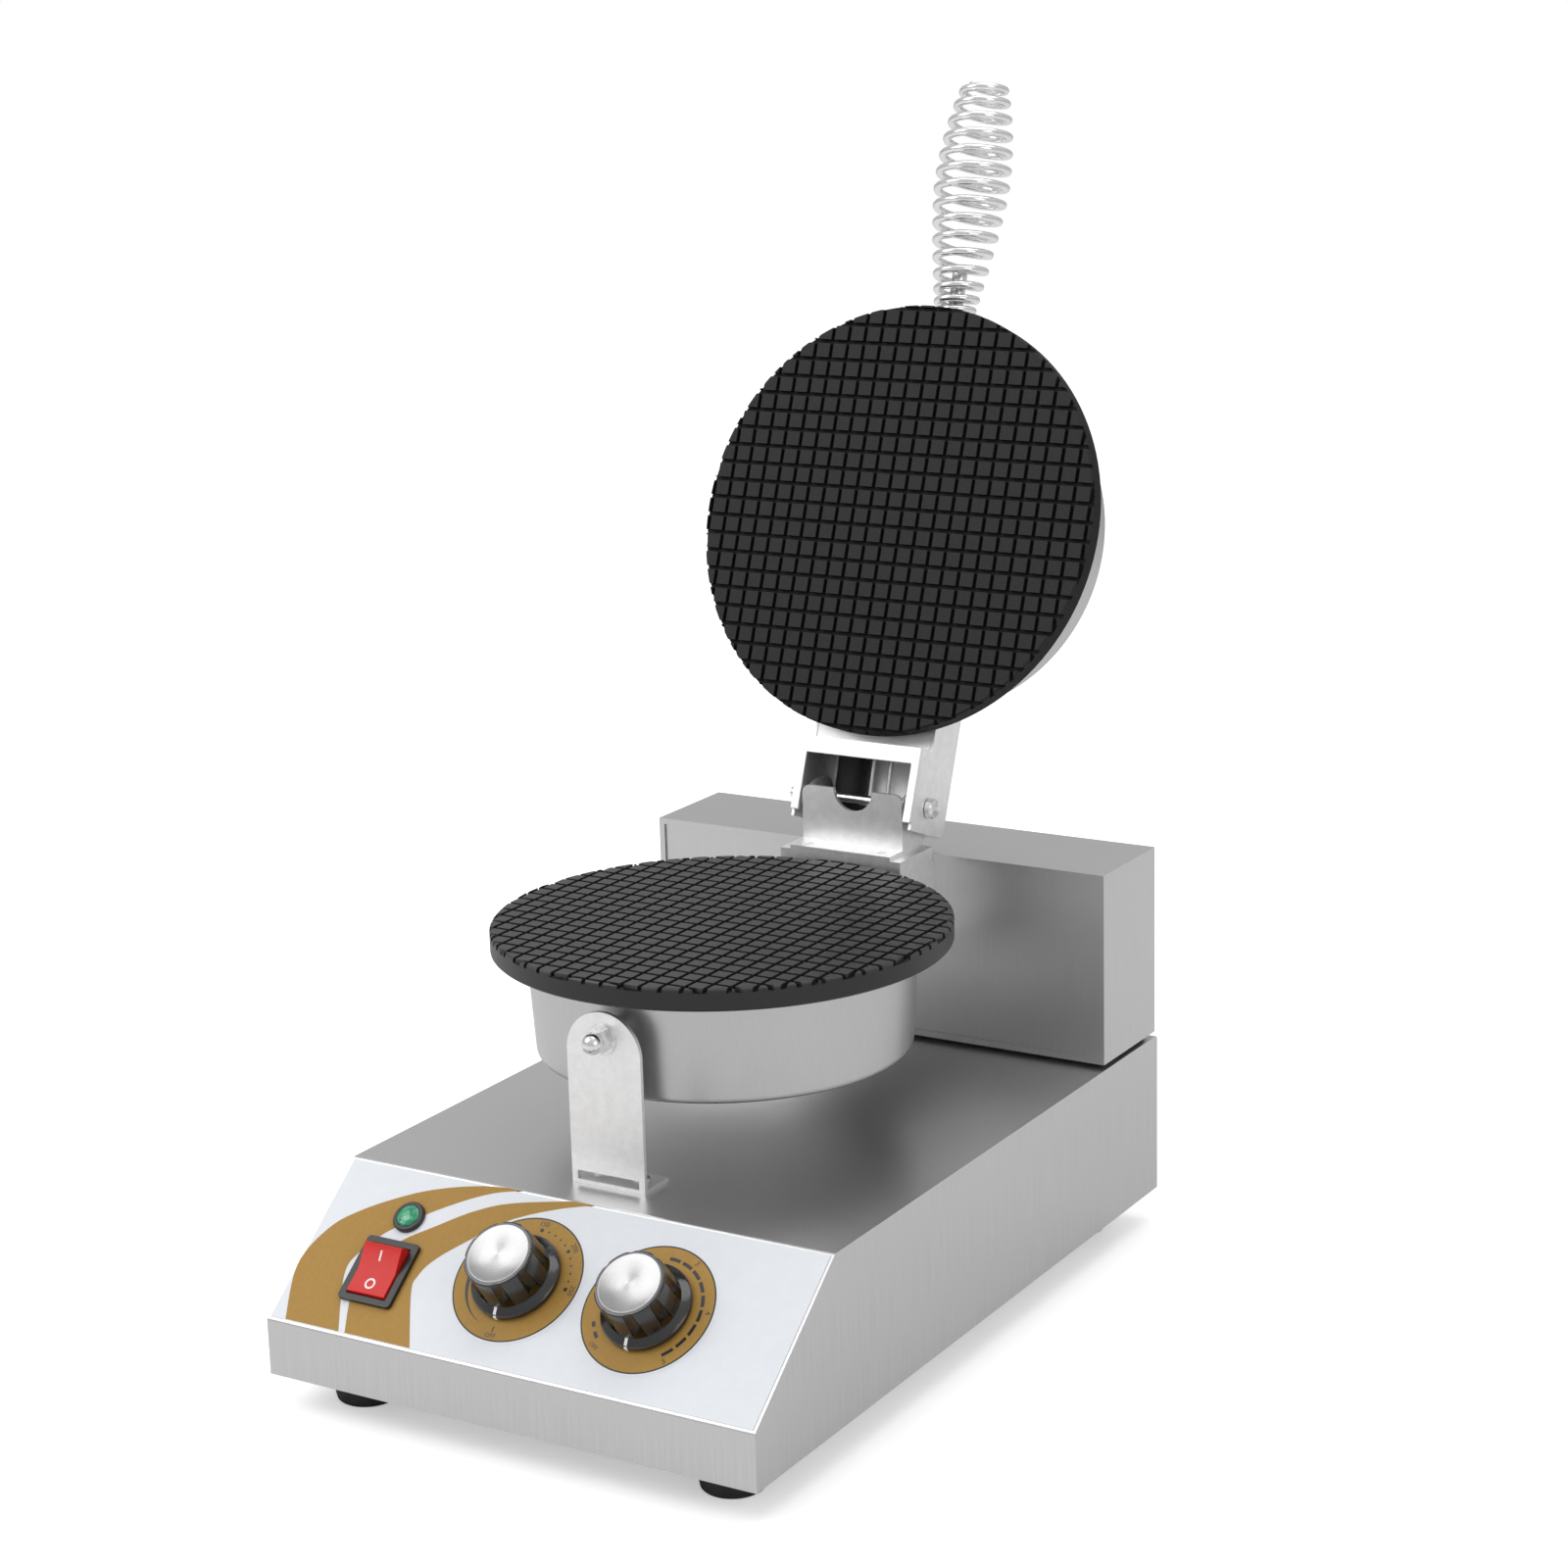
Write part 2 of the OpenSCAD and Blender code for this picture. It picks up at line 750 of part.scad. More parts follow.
module pan_spacer() {
  color("silver")
    difference() {
      rod_y(bracket_back, bolt_y + 2, 0, bolt_z, 5.5);
      rod_y(bracket_back - over, bolt_y + 3, 0, bolt_z, bolt_d / 2 + touch);
      pan_form(0.1);
    }
}

// Revolved outline of a pan, closed end down, rim at its full height
module pan_shell() {
  end_r = pan_end_d / 2;
  rim_r = pan_rim_d / 2;
  outside = rounded([[0, 0], [end_r, 0], [rim_r, pan_h]], [0, pan_corner, 0]);
  inside = rounded(
    [[rim_r - pan_wall, pan_h], [end_r - pan_wall, pan_wall], [0, pan_wall]],
    [0, pan_corner - pan_wall, 0]);
  rotate_extrude()
    polygon(concat(outside, inside));
}

stud_ring = 46;
// The four screws that hold a plate on its pan
module at_studs() {
  for (a = [45:90:315])
    rotate([0, 0, a])
      translate([stud_ring, 0, 0])
        children();
}

module lower_pan() {
  color("lightgray")
    difference() {
      translate([0, plate_y, pan_z])
        pan_shell();
      rod_y(bolt_y - 5, bolt_y + 5, 0, bolt_z, bolt_d / 2 + touch);
      for (a = [-saddle_a, saddle_a], z = saddle_z)
        at_saddle(a, z)
          cylinder(h = 8, r = 2.1, center = true);
      translate([0, plate_y, pan_z - over])
        at_studs()
          cylinder(h = pan_wall + 2 * over, r = 2.1);
    }
}

// A round cast plate with a grid of square teeth on its upper face
module grid_plate() {
  lines = ceil(plate_r / grid_pitch);
  edge = 0.8;
  difference() {
    rotate_extrude()
      polygon([
        [0, 0],
        [plate_r - edge, 0],
        [plate_r, edge],
        [plate_r, plate_t - edge],
        [plate_r - edge, plate_t],
        [0, plate_t]
      ]);
    for (i = [-lines:lines - 1]) {
      translate([(i + 0.5) * grid_pitch - groove_w / 2, -plate_r - over, plate_t - groove_depth])
        cube([groove_w, plate_d + 2 * over, plate_t]);
      translate([-plate_r - over, (i + 0.5) * grid_pitch - groove_w / 2, plate_t - groove_depth])
        cube([plate_d + 2 * over, groove_w, plate_t]);
    }
  }
}

module lower_plate() {
  color("#3a3a3a")
    translate([0, plate_y, plate_z])
      grid_plate();
}

element_ring = 64;
element_r = 4;
// A bent tube heater with its two ends turned away from the plate
module heater() {
  translate([0, 0, -element_r - 0.2]) {
    rotate([0, 0, 105])
      rotate_extrude(angle = 330)
        translate([element_ring, 0, 0])
          circle(r = element_r, $fn = 32);
    for (a = [75, 105])
      rotate([0, 0, a])
        translate([element_ring, 0, -16])
          cylinder(h = 16, r = element_r - 1);
  }
}

module lower_heating_element() {
  color("darkslategray")
    translate([0, plate_y, plate_z])
      heater();
}

// A disc of board in a pan's closed end
module insulation() {
  difference() {
    translate([0, 0, pan_wall])
      cylinder(h = 14, r = pan_end_d / 2 - pan_wall - pan_corner);
    at_studs()
      cylinder(h = 20, r = 2.5);
  }
}

module lower_insulation() {
  color("ivory")
    translate([0, plate_y, pan_z])
      insulation();
}

// Long screws from a pan's closed end up to its plate
module plate_screws() {
  at_studs()
    rotate([180, 0, 0])
      dome_screw(4, 2.4, 2, pan_h);
}

module lower_plate_screws() {
  color("darkgray")
    translate([0, plate_y, pan_z])
      plate_screws();
}

bush_r = 5;
module control_label() {
  side = 1.4;
  color("lightsteelblue")
    difference() {
      on_panel([0, 0])
        translate([-base_w / 2 + side, side, 0])
          cube([base_w - 2 * side, slope_l - 2 * side, label_t]);
      on_panel(lamp_at, -over)
        cylinder(h = 3, r = lamp_d / 2 - 1.5);
      on_panel(switch_at, -over)
        translate([-switch_w / 2 + 1.5, -switch_l / 2 + 1.5, 0])
          cube([switch_w - 3, switch_l - 3, 3]);
      for (at = [temp_at, timer_at])
        on_panel(at, -over)
          cylinder(h = 3, r = bush_r + touch);
    }
}

rocker_w = switch_w - 8;
rocker_l = switch_l - 7;
rocker_r = rocker_l / 2;
pivot_r = 1.6;
module switch_housing() {
  rim = 2.2;
  deep = 20;
  body_w = switch_w - 3.4;
  body_l = switch_l - 3.4;
  color("black")
    on_panel(switch_at, label_t)
      difference() {
        union() {
          linear_extrude(rim)
            polygon(rounded(
              [
                [-switch_w / 2, -switch_l / 2],
                [switch_w / 2, -switch_l / 2],
                [switch_w / 2, switch_l / 2],
                [-switch_w / 2, switch_l / 2]
              ],
              [2, 2, 2, 2]));
          translate([-body_w / 2, -body_l / 2, -deep])
            cube([body_w, body_l, deep + touch]);
          for (x = [-6, 6], y = [-8, 8])
            translate([x - 0.4, y - 3, -deep - 8])
              cube([0.8, 6, 8 + touch]);
        }
        translate([-rocker_w / 2 - 0.5, -rocker_r - 0.4, -12])
          cube([rocker_w + 1, 2 * rocker_r + 0.8, 30]);
        rotate([0, 90, 0])
          cylinder(h = rocker_w + 3, r = pivot_r + fit, center = true);
      }
}

module switch_rocker() {
  crown = 3.2;
  lift = rocker_r * tan(rocker_tilt);
  color("red")
    on_panel(switch_at, label_t)
      rotate([rocker_tilt, 0, 0]) {
        intersection() {
          rotate([0, 90, 0])
            cylinder(h = rocker_w, r = rocker_r, center = true);
          across(rocker_w)
            polygon([
              [-rocker_r, -5],
              [rocker_r, -5],
              [rocker_r, crown + lift],
              [0, crown],
              [-rocker_r, crown + lift]
            ]);
        }
        rotate([0, 90, 0])
          cylinder(h = rocker_w + 2.4, r = pivot_r, center = true);
      }
}

module lamp_bezel() {
  r = lamp_d / 2;
  color("dimgray")
    on_panel(lamp_at, label_t)
      rotate_extrude()
        polygon([[r - 2, -12], [r - 1.6, -12], [r - 1.6, 0], [r, 0], [r, 1.4], [r - 0.6, 2], [r - 2, 2]]);
}

module lamp_lens() {
  r = lamp_d / 2 - 2 - touch;
  color("green")
    on_panel(lamp_at, label_t)
      rotate_extrude()
        polygon(concat([[0, -9], [r, -9], [r, 1.6]],
          [for (k = [1:5]) [r * cos(k * 18), 1.6 + 1.8 * sin(k * 18)]]));
}

// A round switch body behind the panel with a threaded bush for its shaft
module dial_body(w, deep) {
  difference() {
    union() {
      translate([-w / 2, -w / 2, -sheet_t - deep])
        cube([w, w, deep]);
      translate([0, 0, -sheet_t - touch])
        cylinder(h = sheet_t + label_t + 4.2, r = bush_r - touch);
      for (x = [-w / 3, w / 3])
        translate([x - 3, -0.4, -sheet_t - deep - 8])
          cube([6, 0.8, 8 + touch]);
    }
    translate([0, 0, -sheet_t - 9])
      cylinder(h = 20, r = shaft_d / 2 + fit);
  }
}

module thermostat_body() {
  color("gray")
    on_panel(temp_at)
      dial_body(30, 16);
}

module timer_body() {
  color("gray")
    on_panel(timer_at)
      dial_body(32, 18);
}

nut_h = 2.4;
module thermostat_nut() {
  color("silver")
    on_panel(temp_at, label_t)
      hex_nut(14, nut_h, bush_r);
}

module timer_nut() {
  color("silver")
    on_panel(timer_at, label_t)
      hex_nut(14, nut_h, bush_r);
}

shaft_low = -8;
module dial_shaft() {
  difference() {
    translate([0, 0, shaft_low])
      cylinder(h = knob_h - 4 - shaft_low, r = shaft_d / 2);
    translate([shaft_d / 2 - 1.2, -shaft_d, 8])
      cube([shaft_d, 2 * shaft_d, knob_h]);
  }
}

module thermostat_shaft() {
  color("silver")
    on_panel(temp_at)
      dial_shaft();
}

module timer_shaft() {
  color("silver")
    on_panel(timer_at)
      dial_shaft();
}

// A round knob with a skirt, a lobed grip and a recess for its metal cap
module knob() {
  r = knob_d / 2;
  g = grip_top_d / 2;
  cap_r = g - 1.7;
  low = 1.2;
  difference() {
    rotate_extrude()
      polygon(concat(
        [
          [r - 2, low],
          [r - 0.4, low],
          [r, low + 0.5],
          [r, low + 2.2],
          [r - 0.7, low + 3],
          [g + 1, low + 4.6]
        ],
        [for (k = [0:4]) [g - 1 + cos(k * 22.5), knob_h - 1.4 + sin(k * 22.5)]],
        [
          [cap_r + touch, knob_h - 0.4],
          [cap_r + touch, knob_h - 1.2],
          [0, knob_h - 1.2],
          [0, knob_h - 4],
          [shaft_d / 2 + touch, knob_h - 4],
          [shaft_d / 2 + touch, 5.2],
          [7, 5.2],
          [7, 8],
          [r - 4.6, 8],
          [r - 3, low + 3]
        ]));
    for (k = [0:knob_lobes - 1])
      rotate([0, 0, (k + 0.5) * 360 / knob_lobes])
        translate([g + 2.6, 0, low + 4.6])
          cylinder(h = knob_h, r = 3.6);
  }
}

// The spun metal disc on a knob
module knob_cap() {
  translate([0, 0, knob_h - 1.2])
    cylinder(h = 1, r = grip_top_d / 2 - 1.7);
}

module temperature_knob() {
  color("black")
    on_panel(temp_at)
      knob();
}

module temperature_knob_cap() {
  color("lightgray")
    on_panel(temp_at)
      knob_cap();
}

module timer_knob() {
  color("black")
    on_panel(timer_at)
      knob();
}

module timer_knob_cap() {
  color("lightgray")
    on_panel(timer_at)
      knob_cap();
}

module terminal_block() {
  color("ivory")
    translate([-box_w / 2 + 49, box_panel + sheet_t, box_z + 30])
      difference() {
        block([-20, 0, 0], [20, 16, 20]);
        for (x = [-13, 0, 13])
          translate([x, 8, 10])
            cylinder(h = 12, r = 3);
      }
}

gland_x = 84;
gland_z = foot_h + 26;
gland_r = 9;
module cable_gland() {
  color("black")
    translate([gland_x, back_y, gland_z])
      rotate([-90, 0, 0])
        difference() {
          union() {
            translate([0, 0, -sheet_t - 8])
              cylinder(h = sheet_t + 8 + touch, r = gland_r - touch);
            cylinder(h = 4, d = 24, $fn = 6);
            translate([0, 0, 4 - touch])
              cylinder(h = 9, r1 = 10, r2 = 7);
            translate([0, 0, -sheet_t - 5])
              cylinder(h = 5, d = 24, $fn = 6);
          }
          translate([0, 0, -20])
            cylinder(h = 40, r = 4);
        }
}

// A route drawn back and up from the hinge axis, at one place across
function behind_hinge(route, x) = [for (p = route) [x, hinge_y + p.x, hinge_z + p.y]];

module lid_cable_sleeve() {
  path = behind_hinge(sleeve_route, sleeve_x);
  color("#1c1c1c")
    tube(path, [for (p = path) [1, 0, 0]], sleeve_d / 2, 12);
}

module lid_sensor_tube() {
  path = behind_hinge(line_route, sensor_x);
  color("goldenrod")
    tube(path, [for (p = path) [1, 0, 0]], line_d / 2, 8);
}

module lid_earth_wire() {
  path = behind_hinge(line_route, earth_x);
  color("lightgray")
    tube(path, [for (p = path) [1, 0, 0]], line_d / 2, 8);
}

// Height of the sleeve's hole in the closed lid pan
sleeve_entry = hinge_z + cos(lid_open) * sleeve_route[8].y + sin(lid_open) * sleeve_route[8].x;
lid_saddle_a = 17;
lid_saddle_z = [lid_pan_z + 10, yoke_top - 6];
// A place on the closed lid pan's back wall, Z axis out of the wall
module at_lid_saddle(a, z) {
  translate([0, plate_y, z])
    rotate([0, 0, a])
      translate([0, pan_r(z - lid_pan_z), 0])
        rotate([-90, 0, 0])
          children();
}

// The outside of the lid pan, widened by a gap
module lid_pan_form(extra) {
  translate([0, plate_y, lid_pan_z - over])
    cylinder(h = pan_h + 2 * over, r1 = pan_rim_d / 2 + extra, r2 = pan_end_d / 2 + extra);
}

// The sleeve's and the lines' holes through the closed lid pan's back wall
module lid_route_holes() {
  y = plate_y + pan_rim_d / 2;
  rod_y(y - 12, y + 4, sleeve_x, sleeve_entry, sleeve_d / 2 + 1);
  for (x = [sensor_x, earth_x])
    rod_y(y - 12, y + 4, x, sleeve_entry, 3);
}

module upper_pan() {
  color("lightgray")
    on_lid()
      difference() {
        translate([0, plate_y, lid_top])
          mirror([0, 0, 1])
            pan_shell();
        handle_frame()
          cylinder(h = 30, r = stud_r + 0.1, center = true);
        for (a = [-lid_saddle_a, lid_saddle_a], z = lid_saddle_z)
          at_lid_saddle(a, z)
            cylinder(h = 8, r = 2.1, center = true);
        translate([0, plate_y, lid_top - pan_wall - over])
          at_studs()
            cylinder(h = pan_wall + 2 * over, r = 2.1);
        lid_route_holes();
      }
}

module upper_plate() {
  color("#3a3a3a")
    on_lid()
      translate([0, plate_y, lid_pan_z])
        mirror([0, 0, 1])
          grid_plate();
}

module upper_heating_element() {
  color("darkslategray")
    on_lid()
      translate([0, plate_y, lid_pan_z])
        mirror([0, 0, 1])
          heater();
}

module upper_insulation() {
  color("ivory")
    on_lid()
      translate([0, plate_y, lid_top])
        mirror([0, 0, 1])
          insulation();
}

module upper_plate_screws() {
  color("darkgray")
    on_lid()
      translate([0, plate_y, lid_top])
        mirror([0, 0, 1])
          plate_screws();
}

module upper_hinge_bracket() {
  w = arm_w / 2;
  color("silver")
    on_lid()
      difference() {
        across(arm_w)
          polygon([
            [arm_root, yoke_low],
            [yoke_front, yoke_low],
            [yoke_front, frame_z + frame_t],
            [yoke_end, frame_z + frame_t],
            [yoke_end, yoke_top],
            [arm_root, yoke_top]
          ]);
        lid_pan_form(touch);
        difference() {
          across(arm_w - 2 * yoke_t)
            polygon([
              [arm_root, frame_z],
              [yoke_end + over, frame_z],
              [yoke_end + over, yoke_top - yoke_t],
              [arm_root, yoke_top - yoke_t]
            ]);
          lid_pan_form(touch + yoke_t);
        }
        difference() {
          block([-w - over, hinge_y, frame_z], [w + over, yoke_end + over, hinge_z]);
          rod_x(-w - 2 * over, w + 2 * over, hinge_y, hinge_z, sweep_r);
        }
        rod_x(-w - over, w + over, hinge_y, hinge_z, pin_r + fit);
        for (a = [-lid_saddle_a, lid_saddle_a], z = lid_saddle_z)
          at_lid_saddle(a, z)
            cylinder(h = 8, r = 2.1, center = true);
        lid_route_holes();
      }
}

module hinge_frame_plate() {
  w = arm_w / 2;
  inner = w - yoke_t - 0.1;
  lip_back = hinge_y + sqrt(sweep_r * sweep_r - frame_drop * frame_drop) - 0.3;
  color("silver")
    on_lid() {
      difference() {
        block([-w, yoke_front, frame_z], [w, lip_back, frame_z + frame_t]);
        block([-w + frame_lip, yoke_front + frame_bar, frame_z - over],
          [w - frame_lip, lip_back + over, frame_z + frame_t + over]);
      }
      difference() {
        union() {
          block([-inner, yoke_front, frame_z + frame_t - touch],
            [inner, yoke_front + yoke_t, yoke_low + yoke_t]);
          block([-inner, arm_root, yoke_low], [inner, yoke_front + yoke_t, yoke_low + yoke_t]);
        }
        lid_pan_form(touch + yoke_t + 0.1);
      }
    }
}

module upper_bracket_screws() {
  color("darkgray")
    on_lid()
      for (a = [-lid_saddle_a, lid_saddle_a], z = lid_saddle_z)
        at_lid_saddle(a, z)
          translate([0, 0, yoke_t + 0.3])
            dome_screw(3.2, 2, 2, yoke_t + pan_wall + 3);
}

// Places something on the closed lid pan's front wall, Z axis along the handle
module handle_frame() {
  translate([0, handle_y, handle_z])
    rotate([90 + handle_droop, 0, 0])
      children();
}

rings = 10;
helix_steps = floor(turns * rings);
spring_start = wire_r + 0.5 + (neck_d / 2 - wire_r) * (pan_lean + sin(handle_droop));
// A rise from 0 to 1 with level ends
function smooth(t) = let (c = max(0, min(1, t))) (3 - 2 * c) * c * c;
// Pitch of the wire after n turns
function pitch(n) =
  neck_pitch + (grip_pitch - neck_pitch) * smooth((n - neck_turns) / ramp_turns)
    - (grip_pitch - tip_pitch) * smooth((n - turns + tip_turns) / tip_turns);
// Distance along the handle at each step of the wire
spring_z = [for (i = 0, z = spring_start; i <= helix_steps;
  z = z + pitch((i + 0.5) / rings) / rings, i = i + 1) z];
cone_z = spring_start + neck_d / 3;
tip_z = spring_z[helix_steps];
wide_z = cone_z + (tip_z - cone_z) * 0.58;
// Radius to the middle of the wire at a distance along the handle
function spring_r(z) =
  let (t = max(0, min(1, (z - cone_z) / (wide_z - cone_z))))
  let (e = max(0, (z - wide_z) / (tip_z - wide_z)))
  (neck_d + (grip_d - neck_d) * t * (1.25 - t * t / 4) - (grip_d - tip_d) * pow(e, 2.2)) / 2 - wire_r;
function radial(i) = [cos(360 * i / rings), sin(360 * i / rings), 0];
helix = [for (i = [0:helix_steps]) spring_r(spring_z[i]) * radial(i) + [0, 0, spring_z[i]]];
wire_head = helix[0] - wire_d * unit(helix[1] - helix[0]);
wire_tail = helix[helix_steps] + wire_d * unit(helix[helix_steps] - helix[helix_steps - 1]);
wire_path = concat([wire_head], helix, [wire_tail]);
wire_side = concat([radial(0)], [for (i = [0:helix_steps]) radial(i)], [radial(helix_steps)]);
// Least gap from the wire to itself, measured on its points half a turn or more apart
wire_gap = min([for (i = [0:len(wire_path) - 1], j = [i + rings / 2:len(wire_path) - 1])
  if (j < i + 3 * rings) norm(wire_path[i] - wire_path[j])]) - wire_d;

module handle_spring() {
  echo(spring_gap = wire_gap);
  color("lightgray")
    on_lid()
      handle_frame()
        tube(wire_path, wire_side, wire_r, 6);
}

module handle_stud() {
  color("silver")
    on_lid()
      handle_frame()
        difference() {
          translate([0, 0, -pan_wall - 7])
            cylinder(h = stud_l + pan_wall + 7, r = stud_r);
          translate([0, 0, stud_l - 0.8])
            difference() {
              cylinder(h = 2, r = stud_r + over);
              translate([0, 0, -touch])
                cylinder(h = 0.9, r1 = stud_r, r2 = stud_r - 0.8);
            }
        }
}

module handle_nut() {
  across_flats = 2 * stud_r + 4;
  nut_h = 4;
  seat = pan_wall + across_flats / 2 / cos(30) * (pan_lean + sin(handle_droop)) + 0.3;
  color("silver")
    on_lid()
      handle_frame()
        translate([0, 0, -seat - nut_h])
          hex_nut(across_flats, nut_h, stud_r + touch);
}

base_shell();
bottom_cover();
bottom_cover_screws();
rubber_feet();
foot_screws();
rear_housing();
housing_seal();
rear_cover();
rear_cover_screws();
hinge_arm();
arm_screws();
lower_hinge_bracket();
lower_bracket_screws();
hinge_pin();
hinge_nut();
hinge_washers();
front_bracket();
front_bracket_screws();
pan_bolt();
pan_bolt_nut();
pan_bolt_washer();
pan_spacer();
lower_pan();
lower_plate();
lower_heating_element();
lower_insulation();
lower_plate_screws();
control_label();
switch_housing();
lamp_bezel();
lamp_lens();
thermostat_body();
thermostat_nut();
timer_body();
timer_nut();
terminal_block();
cable_gland();
lid_cable_sleeve();
lid_sensor_tube();
lid_earth_wire();
switch_rocker();
temperature_knob();
temperature_knob_cap();
thermostat_shaft();
timer_knob();
timer_knob_cap();
timer_shaft();
upper_pan();
upper_plate();
upper_heating_element();
upper_insulation();
upper_plate_screws();
upper_hinge_bracket();
hinge_frame_plate();
upper_bracket_screws();
handle_spring();
handle_stud();
handle_nut();
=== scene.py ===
import json
import math

import bmesh
import bpy
from mathutils import Matrix, Vector


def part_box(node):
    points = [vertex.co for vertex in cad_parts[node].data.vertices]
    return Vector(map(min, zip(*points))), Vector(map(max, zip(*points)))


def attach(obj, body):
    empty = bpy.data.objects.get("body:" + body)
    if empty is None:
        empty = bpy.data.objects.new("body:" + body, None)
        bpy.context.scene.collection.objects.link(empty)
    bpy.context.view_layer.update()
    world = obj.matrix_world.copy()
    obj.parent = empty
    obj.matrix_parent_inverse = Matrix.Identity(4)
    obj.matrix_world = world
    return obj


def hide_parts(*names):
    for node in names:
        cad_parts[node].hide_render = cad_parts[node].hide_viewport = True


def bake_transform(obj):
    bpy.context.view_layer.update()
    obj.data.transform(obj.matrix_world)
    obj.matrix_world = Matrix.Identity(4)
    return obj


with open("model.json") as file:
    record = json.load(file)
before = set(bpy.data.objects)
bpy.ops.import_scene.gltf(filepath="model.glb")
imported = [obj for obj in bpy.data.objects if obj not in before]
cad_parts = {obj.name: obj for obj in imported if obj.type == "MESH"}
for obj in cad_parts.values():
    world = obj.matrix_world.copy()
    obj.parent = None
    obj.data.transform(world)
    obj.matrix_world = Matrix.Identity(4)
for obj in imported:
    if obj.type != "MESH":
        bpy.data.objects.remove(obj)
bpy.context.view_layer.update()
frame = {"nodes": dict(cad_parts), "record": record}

MM = 0.001
RECORD = frame["record"]
JOINTS = {j["name"]: j for j in RECORD["behaviour"]["joints"]}
BODY_OF = {node: body for body, nodes in RECORD["behaviour"]["bodies"].items() for node in nodes}
SLOT_OF = {s["node"]: s["material_slot"] for s in RECORD["subparts"]}

# Camera, solved from the photograph's plate rims and base corners
CAMERA_AT = (0.7856, -1.2374, 0.626)
CAMERA_AZIMUTH = math.radians(31.37)
CAMERA_ELEVATION = math.radians(14.33)
CAMERA_ROLL = math.radians(-1.58)
CAMERA_LENS = 77.27
SENSOR = 36.0

# Control panel plane, from the thermostat and timer joints
PANEL_NORMAL = Vector(JOINTS["temperature_turn"]["axis"]).normalized()
PANEL_UP = Vector((0, PANEL_NORMAL.z, -PANEL_NORMAL.y))
TEMP_AT = Vector(JOINTS["temperature_turn"]["pos_m"])
TIMER_AT = Vector(JOINTS["timer_turn"]["pos_m"])

HINGE = Vector(JOINTS["lid_hinge"]["pos_m"])
LID_OPEN = math.radians(JOINTS["lid_hinge"]["range_deg"][1])


def lid(point):
    """A point given on the closed lid, where it lies with the lid open at rest."""
    return HINGE + Matrix.Rotation(-LID_OPEN, 3, "X") @ (Vector(point) - HINGE)


# The lid with the lid closed, in millimetres: the plate's radius and thickness, how far its back edge
# and the meeting plane lie from the hinge axis, the gap above that plane, and the pan on the plate
PLATE_R, PLATE_T = 105.0, 10.4
PLATE_BEHIND, PLATES_MEET, PLATE_GAP = 30.5, 22.4, 1.6
PAN_RIM_R, PAN_END_R, PAN_H = 89.0, 86.0, 48.5
HANDLE_RISE = 19.3

# A point on the lid plate's face with the lid closed, and the way it faces with the lid open
LID_FACE_POINT = HINGE + Vector((0, -PLATE_BEHIND - PLATE_R, PLATE_GAP - PLATES_MEET)) * MM
LID_FACE_NORMAL = Matrix.Rotation(-LID_OPEN, 3, "X") @ Vector((0, 0, -1))

# Lower front edge of the panel: the thermostat's centre is a known way up the slope
TEMP_UP = 43.4 * MM
PANEL_ORIGIN = Vector((0, TEMP_AT.y, TEMP_AT.z)) - PANEL_UP * TEMP_UP


def on_panel(x, up, out=0.0):
    """A point on the panel, in millimetres across it, up its slope and out of its sheet."""
    return PANEL_ORIGIN + Vector((x * MM, 0, 0)) + PANEL_UP * up * MM + PANEL_NORMAL * out * MM


# Materials

def new_material(name):
    material = bpy.data.materials.new(name)
    material.use_nodes = True
    tree = material.node_tree
    shader = tree.nodes["Principled BSDF"]
    return material, tree, shader


def node(tree, kind, **sockets):
    made = tree.nodes.new(kind)
    for key, value in sockets.items():
        made.inputs[key.replace("_", " ")].default_value = value
    return made


def coordinates(tree, scale):
    """Object coordinates in metres, stretched by a scale for each axis."""
    source = tree.nodes.new("ShaderNodeTexCoord")
    mapping = tree.nodes.new("ShaderNodeMapping")
    mapping.inputs["Scale"].default_value = scale
    tree.links.new(source.outputs["Object"], mapping.inputs["Vector"])
    return mapping.outputs["Vector"]


def noise(tree, scale, size, detail=3.0, rough=0.5):
    made = node(tree, "ShaderNodeTexNoise", Scale=size, Detail=detail, Roughness=rough)
    tree.links.new(coordinates(tree, scale), made.inputs["Vector"])
    return made.outputs["Fac"]


def ramp(tree, value, stops):
    made = tree.nodes.new("ShaderNodeValToRGB")
    elements = made.color_ramp.elements
    while len(elements) < len(stops):
        elements.new(0.5)
    for element, (place, colour) in zip(elements, stops):
        element.position = place
        element.color = (*colour, 1)
    tree.links.new(value, made.inputs["Fac"])
    return made.outputs["Color"]


def spread(tree, value, low, high):
    """A value from 0 to 1 spread over a range."""
    made = node(tree, "ShaderNodeMapRange", To_Min=low, To_Max=high)
    tree.links.new(value, made.inputs["Value"])
    return made.outputs["Result"]


def bump(tree, shader, height, strength, distance):
    made = node(tree, "ShaderNodeBump", Strength=strength, Distance=distance)
    tree.links.new(height, made.inputs["Height"])
    tree.links.new(made.outputs["Normal"], shader.inputs["Normal"])


def grey(value):
    return (value, value, value)


GRAIN_FINE = 2200.0
GRAIN_LONG = 25.0


